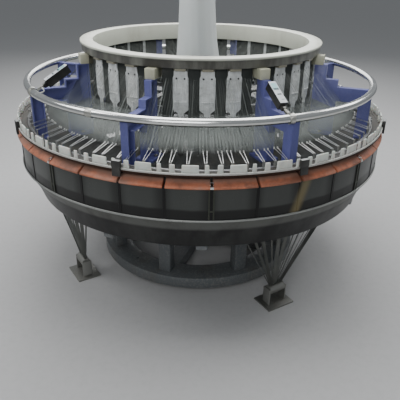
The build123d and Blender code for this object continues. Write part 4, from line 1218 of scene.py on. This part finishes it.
@dataclass
class Warp:
    """Warp tapes from the dancers to the healds and on to the weaving ring, and the fans from the floor."""

    layout: Layout
    finishes: Finishes
    ring: RingOf
    per_bay: int = 88
    width: float = 0.0036
    thickness: float = 0.0003
    heald_spread: float = 10.6
    eyelet_radius: float = 0.985
    heald_radius: float = 0.7075
    weaving_radius: float = 0.178

    def build(self) -> None:
        """Make both sheds outside the healds, the upper one inside them, and the floor fans."""
        self.outer(Shed.UPPER, self.finishes.tape, ["warp_tapes"])
        self.inner(Shed.UPPER, self.finishes.inner_tape)
        self.outer(Shed.LOWER, self.finishes.low_tape, [])
        self.fans()

    def tapes(self, path: Sequence[Vector], shares: Sequence[float], spreads: Sequence[float]) -> bpy.types.Mesh:
        """Return one bay of tapes.

        Args:
            path: Points of a tape in the middle of the bay.
            shares: Where each tape lies across the bay, from -0.5 to 0.5.
            spreads: How many degrees the bay spans at each point.

        Returns:
            The mesh, with local X outwards.
        """
        bay = Shape()
        for share in shares:
            bay.ribbon([Matrix.Rotation(math.radians(share * spread), 3, "Z") @ point
                        for spread, point in zip(spreads, path)], self.width, self.thickness)
        return bay.mesh("bay")

    def outer(self, shed: Shed, finish: bpy.types.Material, replaces: Sequence[str]) -> None:
        """Make the tapes that rise through the dancers' eyelets to the healds of one shed.

        Args:
            shed: The shed.
            finish: The tapes' material.
            replaces: CAD nodes that the tapes stand for.
        """
        rim = self.layout.rim_top
        path = [Vector((0.9885, 0, rim + 0.0500)), Vector((self.eyelet_radius, 0, rim + 0.0555)),
                Vector((self.heald_radius, 0, rim + shed.value))]
        count = self.per_bay // 2
        number = list(Shed).index(shed)
        shares = [(index + 0.25 + 0.5 * number + 0.32 * math.sin(index * 4.7 + number)) / count - 0.5
                  for index in range(count)]
        pitch = self.layout.pitch
        self.ring.repeat(f"outer_warp_{shed.name.lower()}", self.tapes(path, shares, (pitch, pitch, self.heald_spread)),
                         finish, "warp_tape", replaces, Seed=31, **self.layout.at_bays(pitch / 2))

    def inner(self, shed: Shed, finish: bpy.types.Material) -> None:
        """Make the tapes between the healds and the weaving ring of one shed."""
        rim = self.layout.rim_top
        path = [Vector((0.699, 0, rim + shed.value)), Vector((0.450, 0, rim + 0.262)),
                Vector((self.weaving_radius, 0, rim + 0.1665))]
        count = self.per_bay // 2
        shares = [(index + 0.25) / count - 0.5 for index in range(count)]
        pitch = self.layout.pitch
        self.ring.repeat(f"inner_warp_{shed.name.lower()}", self.tapes(path, shares, (pitch, pitch, pitch)),
                         finish, "warp_tape", Seed=32, **self.layout.at_bays(pitch / 2))

    def fans(self) -> None:
        """Make the fans of tape bundles that rise from the floor guides into the skirt."""
        fan = Shape()
        count = 13
        for index in range(count):
            share = index / (count - 1) - 0.5
            wobble = 0.35 * math.sin(index * 2.4)
            foot = Vector((0.890, share * 0.092, 0.1325))
            angle = math.radians(54 * share + wobble)
            head = Vector((1.100 * math.cos(angle), 1.100 * math.sin(angle), self.layout.table_top - 0.0315))
            middle = foot.lerp(head, 0.5)
            fan.ribbon([foot, middle, head], 0.020 if index % 3 else 0.009, 0.0014)
        self.ring.repeat("floor_fans", fan.mesh("fan"), self.finishes.shaded_fan_tape, "warp_tape", Count=4,
                         First_turn=32 - 90, Step=90)


@dataclass
class Dancers:
    """The rail inside the comb, with its bright spring blades in pairs and their eyelets."""

    layout: Layout
    finishes: Finishes
    ring: RingOf
    pairs_per_bay: int = 3
    pair_gap: float = 0.0045
    rail_inner: float = 1.0837
    rail_outer: float = 1.0977

    def build(self) -> None:
        """Make the rail, the blades and the eyelets."""
        rim = self.layout.rim_top
        table = self.layout.table_top
        top = rim + 0.006
        rail = [(self.rail_inner, table), (self.rail_outer, table), (self.rail_outer, top), (self.rail_inner, top)]
        turned("dancer_rail", rail, self.finishes.steel, "dancer_wire", (0.002, 2), ["dancer_arms"], 192)
        step = self.layout.pitch / self.pairs_per_bay
        blade = Shape()
        root = Shape()
        eyelet = Shape()
        for side in (-self.pair_gap, self.pair_gap):
            blade.ribbon([Vector((1.0895, side, rim + 0.0335)), Vector((1.040, side * 1.6, rim + 0.0440)),
                          Vector((0.986, side * 2.2, rim + 0.0550))], 0.0033, 0.0012)
            eyelet.wire([Vector((0.9855, side * 2.2, rim + 0.0505)), Vector((0.9850, side * 2.2, rim + 0.0595))],
                        0.0036, 8)
        root.box((1.0878, -self.pair_gap - 0.0025, rim + 0.0055), (1.0925, self.pair_gap + 0.0025, rim + 0.036))
        for name, shape, finish in (("blades", blade.mesh("blade"), self.finishes.bright),
                                    ("holders", root.mesh("holder", 0.001, 1), self.finishes.holder),
                                    ("eyelets", eyelet.mesh("eyelet"), self.finishes.white)):
            self.ring.repeat(f"dancer_{name}", shape, finish, "dancer_wire",
                             Count=self.layout.bays * self.pairs_per_bay, Step=step,
                             First_turn=self.layout.first_bracket + step / 2 - 90, Turn_jitter=0.95,
                             Lift_jitter=0.0020, Reach_jitter=0.004, Seed=41)


@dataclass
class TubeRing:
    """The polished tube round the brackets."""

    finishes: Finishes
    radius: float = 1.070
    tube: float = 0.021

    def build(self) -> None:
        """Make the tube as a smooth ring."""
        low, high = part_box("tube_ring")
        level = (low[2] + high[2]) / 2
        sides = 28
        profile = [(self.radius + self.tube * math.cos(2 * math.pi * index / sides),
                    level + self.tube * math.sin(2 * math.pi * index / sides)) for index in range(sides)]
        turned("tube_ring_polished", profile, self.finishes.polished, "polished_tube", replaces=["tube_ring"],
               steps=320)


@dataclass
class WovenTube:
    """The woven tube, which flattens as it rises from the weaving ring."""

    layout: Layout
    finishes: Finishes
    radius: float = 0.175
    flattening: float = 0.075
    flattening_length: float = 0.240
    sideways: float = -0.026
    sideways_length: float = 0.120
    wall: float = 0.0012
    around: int = 144
    up: int = 48

    def build(self) -> None:
        low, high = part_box("fabric_tube")
        rows = []
        length = high[2] - low[2]
        for face in (0.0, self.wall):
            levels = [low[2] + 0.0002 + (length - 0.0004) * index / self.up for index in range(self.up + 1)]
            for level in (levels if face == 0.0 else reversed(levels)):
                rows.append(self.section(level - low[2], level, face, length))
        shell = Shape().grid(rows, True, True)
        mesh = shell.mesh("woven_tube")
        self.unwrap(mesh, low[2])
        thing = piece("woven_tube", mesh, self.finishes.cloth, "frame", "woven_fabric", ["fabric_tube"])
        2 * math.pi * self.radius

    def section(self, rise: float, level: float, inset: float, length: float) -> list[Vector]:
        """Return the ring of points at one height.

        Args:
            rise: Height above the weaving ring.
            level: Height above the floor.
            inset: How far inside the outer face.
            length: Full height of the tube.

        Returns:
            The points.
        """
        half_width = self.radius - self.flattening * (1 - math.exp(-rise / self.flattening_length))
        half_depth = self.radius
        girth = 2 * math.pi * self.radius
        for _ in range(30):
            h = ((half_width - half_depth) / (half_width + half_depth)) ** 2
            half_depth += (girth - math.pi * (half_width + half_depth) * (1 + 3 * h / (10 + math.sqrt(4 - 3 * h)))) / 4
        points = []
        middle = self.sideways * (1 - math.exp(-rise / self.sideways_length))
        ease = math.sin(math.pi * min(1.0, max(0.0, rise / length))) ** 0.7
        for index in range(self.around):
            angle = 2 * math.pi * index / self.around
            ripple = 0.0011 * ease * (math.sin(9 * angle + 1.2 + rise * 3) + 0.6 * math.sin(17 * angle + rise * 5))
            shift = inset + 0.0013 * ease - ripple
            points.append(Vector((middle + (half_width - shift) * math.cos(angle),
                                  (half_depth - shift) * math.sin(angle), level)))
        return points

    def unwrap(self, mesh: bpy.types.Mesh, low: float) -> None:
        """Give the shell a UV map in metres, girth across and height up."""
        layer = mesh.uv_layers.new(name="cloth")
        girth = 2 * math.pi * self.radius
        for polygon in mesh.polygons:
            indices = [mesh.loops[loop].vertex_index % self.around for loop in polygon.loop_indices]
            wraps = max(indices) - min(indices) > self.around / 2
            for loop, index in zip(polygon.loop_indices, indices):
                share = (index + self.around if wraps and index < self.around / 2 else index) / self.around
                height = mesh.vertices[mesh.loops[loop].vertex_index].co.z - low
                layer.data[loop].uv = (share * girth, height)


@dataclass
class Sensors:
    """Light faces, windows and marks on the sensor boxes, and the white leads at their clamps."""

    layout: Layout
    finishes: Finishes
    offsets: tuple[float, ...] = (-1.8, 5.5, -1.8, 5.5)
    tilt: float = 30.0
    neck: float = 0.016
    length: float = 0.146
    half_height: float = 0.022
    pivot_radius: float = 1.000
    pivot_rise: float = 0.257
    lead_diameter: float = 0.006
    lead_length: float = 0.068

    def build(self) -> None:
        """Dress each sensor, and lay its lead."""
        brackets = self.layout.bracket_azimuths[::2]
        for number, (bracket, offset) in enumerate(zip(brackets, self.offsets), start=1):
            self.face(number, bracket + offset)
            self.lead(number, bracket + offset)

    def face(self, number: int, azimuth: float) -> None:
        """Make the face, the window and the marks of one sensor, which tilt with it.

        Args:
            number: The sensor's number.
            azimuth: Where it is clamped.
        """
        tilt = math.radians(self.tilt)
        along = Vector((-math.cos(tilt), 0, math.sin(tilt)))
        up = Vector((math.sin(tilt), 0, math.cos(tilt)))
        frame_of_box = Matrix((along, up.cross(along), up)).transposed().to_4x4()
        pivot = Vector((self.pivot_radius, 0, self.layout.rim_top + self.pivot_rise))
        place = turn(azimuth) @ Matrix.Translation(pivot) @ frame_of_box
        top = self.half_height + 0.003
        start = self.neck
        parts = (
            ("face", (-0.001, self.length + 0.001), (-0.020, 0.020), (-0.001, 0.0012), self.finishes.face),
            ("window", (0.087, 0.134), (-0.0150, 0.0150), (0.0008, 0.0020), self.finishes.window),
            ("mark_low", (0.053, 0.061), (-0.012, 0.011), (0.0008, 0.0020), self.finishes.marking),
            ("mark_high", (0.088, 0.098), (-0.014, 0.014), (0.0008, 0.0024), self.finishes.marking),
            ("print", (0.020, 0.023), (-0.013, 0.004), (0.0008, 0.0016), self.finishes.marking),
        )
        for name, reach, side, rise, finish in parts:
            low, high = ((start + reach[end], side[end], top + rise[end]) for end in (0, 1))
            mesh = Shape().box(low, high).moved(place).mesh(name, 0.0005, 1)
            piece(f"sensor_{name}_{number}", mesh, finish, f"sensor_body_{number}", "sensor_case")

    def lead(self, number: int, azimuth: float) -> None:
        """Lay the short white lead from the clamp's arm down to the tube ring.

        Args:
            number: The sensor's number.
            azimuth: Where it is clamped.
        """
        rim = self.layout.rim_top
        route = [turn(azimuth) @ Vector(point) for point in (
            (1.018, 0.006, rim + 0.249), (1.018, 0.020, rim + 0.248), (1.012, 0.030, rim + 0.226),
            (1.0487, 0.030, rim + 0.228))]
        curve = bpy.data.curves.new(f"lead_{number}", "CURVE")
        curve.dimensions = "3D"
        curve.bevel_depth = self.lead_diameter / 2
        curve.bevel_resolution = 3
        curve.use_fill_caps = True
        spline = curve.splines.new("NURBS")
        spline.points.add(len(route) - 1)
        for point, place in zip(spline.points, route):
            point.co = (*place, 1.0)
        spline.order_u = 3
        spline.use_endpoint_u = True
        curve.materials.append(self.finishes.white)
        lead = bpy.data.objects.new(f"sensor_lead_{number}", curve)
        link(lead)
        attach(lead, "frame")
        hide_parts("tube_clamps")
        tuple(route[0])
        LOG.info("sensor_lead_%d: a cord on frame", number)


def numbered(name: str, count: int) -> list[str]:
    """Return the names of parts that are numbered from 1."""
    return [f"{name}_{number}" for number in range(1, count + 1)]


@dataclass
class RoundedParts:
    """Copies of construction parts with their sharp edges rounded, as castings and folded sheet have."""

    finishes: Finishes
    lead_reach: float = 1.050

    def build(self) -> None:
        """Round every part whose edges show, by the radius in its row of the table."""
        bodies = {node: body for body, nodes in frame["record"]["behaviour"]["bodies"].items() for node in nodes}
        slots = {part["node"]: part["material_slot"] for part in frame["record"]["subparts"]}
        for radius, finish, nodes in self.rows():
            for node in nodes:
                mesh = self.rounded(node, radius)
                piece(f"{node}_rounded", mesh, finish, bodies[node], slots[node], [node])

    def rows(self) -> tuple[tuple[float, bpy.types.Material, list[str]], ...]:
        """Return the radius in metres, the finish and the nodes of each kind of part."""
        finishes = self.finishes
        return (
            (0.0016, finishes.blue, numbered("bracket", 8)),
            (0.0020, finishes.black, numbered("sensor", 4)),
            (0.0020, finishes.shuttle, numbered("shuttle", 4)),
            (0.0050, finishes.frame, ["base_frame", "columns", "lower_deck"]),
            (0.0030, finishes.table, ["machine_table"]),
            (0.0040, finishes.motor, ["motor"]),
            (0.0015, finishes.steel, ["weaving_ring", "main_shaft"]),
            (0.0015, finishes.iron, ["reed_rings"]),
            (0.0020, finishes.iron, ["shuttle_spider", "driven_pulley", "motor_pulley"]),
            (0.0020, finishes.zinc, ["floor_guides", "levelling_feet"]),
            (0.0008, finishes.zinc, ["bracket_bolts"]),
            (0.0010, finishes.cast, ["tube_clamps"]),
            (0.0010, finishes.rubber, numbered("heald_belts", 8)),
        )

    def rounded(self, node: str, radius: float) -> bpy.types.Mesh:
        """Return a copy of a part's mesh with its sharp edges rounded.

        Args:
            node: The construction node.
            radius: Radius of the rounding in metres.

        Returns:
            The new mesh.
        """
        work = bmesh.new()
        work.from_mesh(frame["nodes"][node].data)
        bmesh.ops.remove_doubles(work, verts=work.verts, dist=2e-5)
        if node == "tube_clamps":
            self.drop_leads(work)
        bmesh.ops.dissolve_limit(work, angle_limit=math.radians(0.8), verts=work.verts, edges=work.edges)
        sharp = [edge for edge in work.edges if edge.is_manifold and edge.calc_face_angle() > math.radians(32)
                 and edge.calc_length() > 3 * radius]
        bmesh.ops.bevel(work, geom=sharp, offset=radius, segments=2, profile=0.5, affect="EDGES", clamp_overlap=True)
        mesh = bpy.data.meshes.new(node + "_rounded")
        work.to_mesh(mesh)
        work.free()
        return mesh

    def drop_leads(self, work: bmesh.types.BMesh) -> None:
        """Take out the leads, which lie inside the tube's inner edge, because cords stand for them."""
        left = set(work.verts)
        while left:
            island = {left.pop()}
            reach = list(island)
            while reach:
                for edge in reach.pop().link_edges:
                    for vertex in edge.verts:
                        if vertex in left:
                            left.discard(vertex)
                            island.add(vertex)
                            reach.append(vertex)
            if max(math.hypot(vertex.co.x, vertex.co.y) for vertex in island) < self.lead_reach:
                bmesh.ops.delete(work, geom=list(island), context="VERTS")


def dress(node: str, material: bpy.types.Material) -> None:
    """Give a construction node a finish."""
    mesh = frame["nodes"][node].data
    if mesh.materials:
        for index in range(len(mesh.materials)):
            mesh.materials[index] = material
    else:
        mesh.materials.append(material)


def dress_nodes(finishes: Finishes, rounded: RoundedParts) -> None:
    """Give every construction node its finish, shown or not.

    Args:
        finishes: The materials.
        rounded: The parts whose finishes stand in their own table.
    """
    table = [(finish, nodes) for _, finish, nodes in rounded.rows()] + [
        (finishes.rim_dark, ["rim_ring"]), (finishes.orange, ["rim_segments"]), (finishes.skirt, ["skirt_panels"]),
        (finishes.grey_paint, ["lower_cone"]), (finishes.comb, ["comb_ring"]), (finishes.polished, ["tube_ring"]),
        (finishes.black, ["rim_clips"]), (finishes.cream, ["top_ring"]), (finishes.plate, ["heald_plates"]),
        (finishes.steel, ["reed_wires", "main_bearings", "centre_post"]), (finishes.iron, ["cam_drum"]),
        (finishes.vee_belt, ["drive_belts"]), (finishes.cloth, ["fabric_tube"]), (finishes.bright, ["dancer_arms"]),
        (finishes.tape, ["warp_tapes"]),
    ]
    for material, nodes in table:
        for node in nodes:
            dress(node, material)
    for index, bobbin in enumerate(numbered("bobbin", 4)):
        dress(bobbin, WoundYarn(f"weft_yarn_{index + 1}", (0.66, 0.68, 0.66), 45 + 90 * index).build())


@dataclass
class Studio:
    """Camera, floor and lights."""

    distance: float = 3.267
    height: float = 1.910
    pitch: float = 26.0
    roll: float = 0.89
    yaw: float = 0.16
    lens: float = 45.0
    sensor: float = 36.0

    def build(self) -> None:
        """Set up the camera, the floor and the lights."""
        self.camera()
        self.floor()
        self.lights()

    def camera(self) -> None:
        """Stand the camera where the photograph was taken."""
        data = bpy.data.cameras.new("camera")
        data.lens = self.lens
        data.sensor_width = self.sensor
        data.sensor_fit = "HORIZONTAL"
        data.clip_end = 60
        pitch, roll, yaw = (math.radians(angle) for angle in (self.pitch, self.roll, self.yaw))
        flat = Vector((math.sin(yaw), math.cos(yaw), 0))
        right = Vector((math.cos(yaw), -math.sin(yaw), 0))
        up = Vector((0, 0, 1))
        ahead = flat * math.cos(pitch) - up * math.sin(pitch)
        above = up * math.cos(pitch) + flat * math.sin(pitch)
        across = right * math.cos(roll) + above * math.sin(roll)
        above = above * math.cos(roll) - right * math.sin(roll)
        camera = bpy.data.objects.new("camera", data)
        matrix = Matrix((across, above, -ahead)).transposed().to_4x4()
        matrix.translation = Vector((0, -self.distance, self.height))
        camera.matrix_world = matrix
        link(camera)
        bpy.context.scene.camera = camera

    def floor(self) -> None:
        """Lay a plain pale floor."""
        mesh = bpy.data.meshes.new("floor")
        size = 30.0
        corners = [(-size, -size, 0), (size, -size, 0), (size, size, 0), (-size, size, 0)]
        mesh.from_pydata(corners, [], [(0, 1, 2, 3)])
        screed = Plastic("floor_screed", grey(0.45), roughness=0.7, dusty=0.1, dust=grey(0.42), shade=0.95)
        mesh.materials.append(screed.build())
        floor = bpy.data.objects.new("floor", mesh)
        link(floor)

    def lights(self) -> None:
        """Hang soft lamps over the machine and light the room evenly."""
        world = bpy.data.worlds.new("world")
        world.use_nodes = True
        background = world.node_tree.nodes["Background"]
        background.inputs["Color"].default_value = (0.80, 0.84, 0.88, 1)
        background.inputs["Strength"].default_value = 0.34
        bpy.context.scene.world = world
        lamps = (
            ("overhead", Vector((0.0, 0.6, 4.6)), Vector((0, 0, 1.0)), 4.5, 258.0),
            ("left_row", Vector((-3.6, -0.6, 4.0)), Vector((0, 0, 1.1)), 2.0, 72.0),
            ("right_row", Vector((3.8, 1.8, 4.0)), Vector((0, 0, 1.1)), 2.0, 62.0),
            ("back_row", Vector((0.0, 5.6, 4.2)), Vector((0, 0.6, 1.2)), 4.5, 170.0),
            ("front_fill", Vector((-1.0, -5.2, 3.4)), Vector((0, 0, 0.9)), 3.0, 85.0),
        )
        for name, place, target, size, power in lamps:
            data = bpy.data.lights.new(name, "AREA")
            data.size = size
            data.energy = power
            lamp = bpy.data.objects.new(name, data)
            lamp.location = place
            lamp.rotation_euler = (target - place).to_track_quat("-Z", "Y").to_euler()
            link(lamp)


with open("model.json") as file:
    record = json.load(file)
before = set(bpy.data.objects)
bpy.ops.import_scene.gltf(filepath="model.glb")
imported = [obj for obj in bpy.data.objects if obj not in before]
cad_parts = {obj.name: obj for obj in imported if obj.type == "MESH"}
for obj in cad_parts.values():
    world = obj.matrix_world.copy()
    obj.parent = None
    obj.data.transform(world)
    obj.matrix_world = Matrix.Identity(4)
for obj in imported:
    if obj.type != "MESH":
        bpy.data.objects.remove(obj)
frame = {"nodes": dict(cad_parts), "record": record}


def main() -> None:
    """Build every sub-assembly round the frame."""
    logging.basicConfig(level=logging.INFO, format="%(name)s %(message)s")
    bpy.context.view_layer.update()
    layout = Layout(rim_top=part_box("comb_ring")[0][2], table_top=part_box("rim_ring")[0][2])
    finishes = Finishes(layout)
    ring = RingOf()
    Studio().build()
    rounded = RoundedParts(finishes)
    dress_nodes(finishes, rounded)
    Rim(layout, finishes, ring).build()
    Crown(layout, finishes, ring).build()
    TubeRing(finishes).build()
    Dancers(layout, finishes, ring).build()
    Warp(layout, finishes, ring).build()
    WovenTube(layout, finishes).build()
    rounded.build()
    Sensors(layout, finishes).build()


if __name__ == "__main__":
    main()
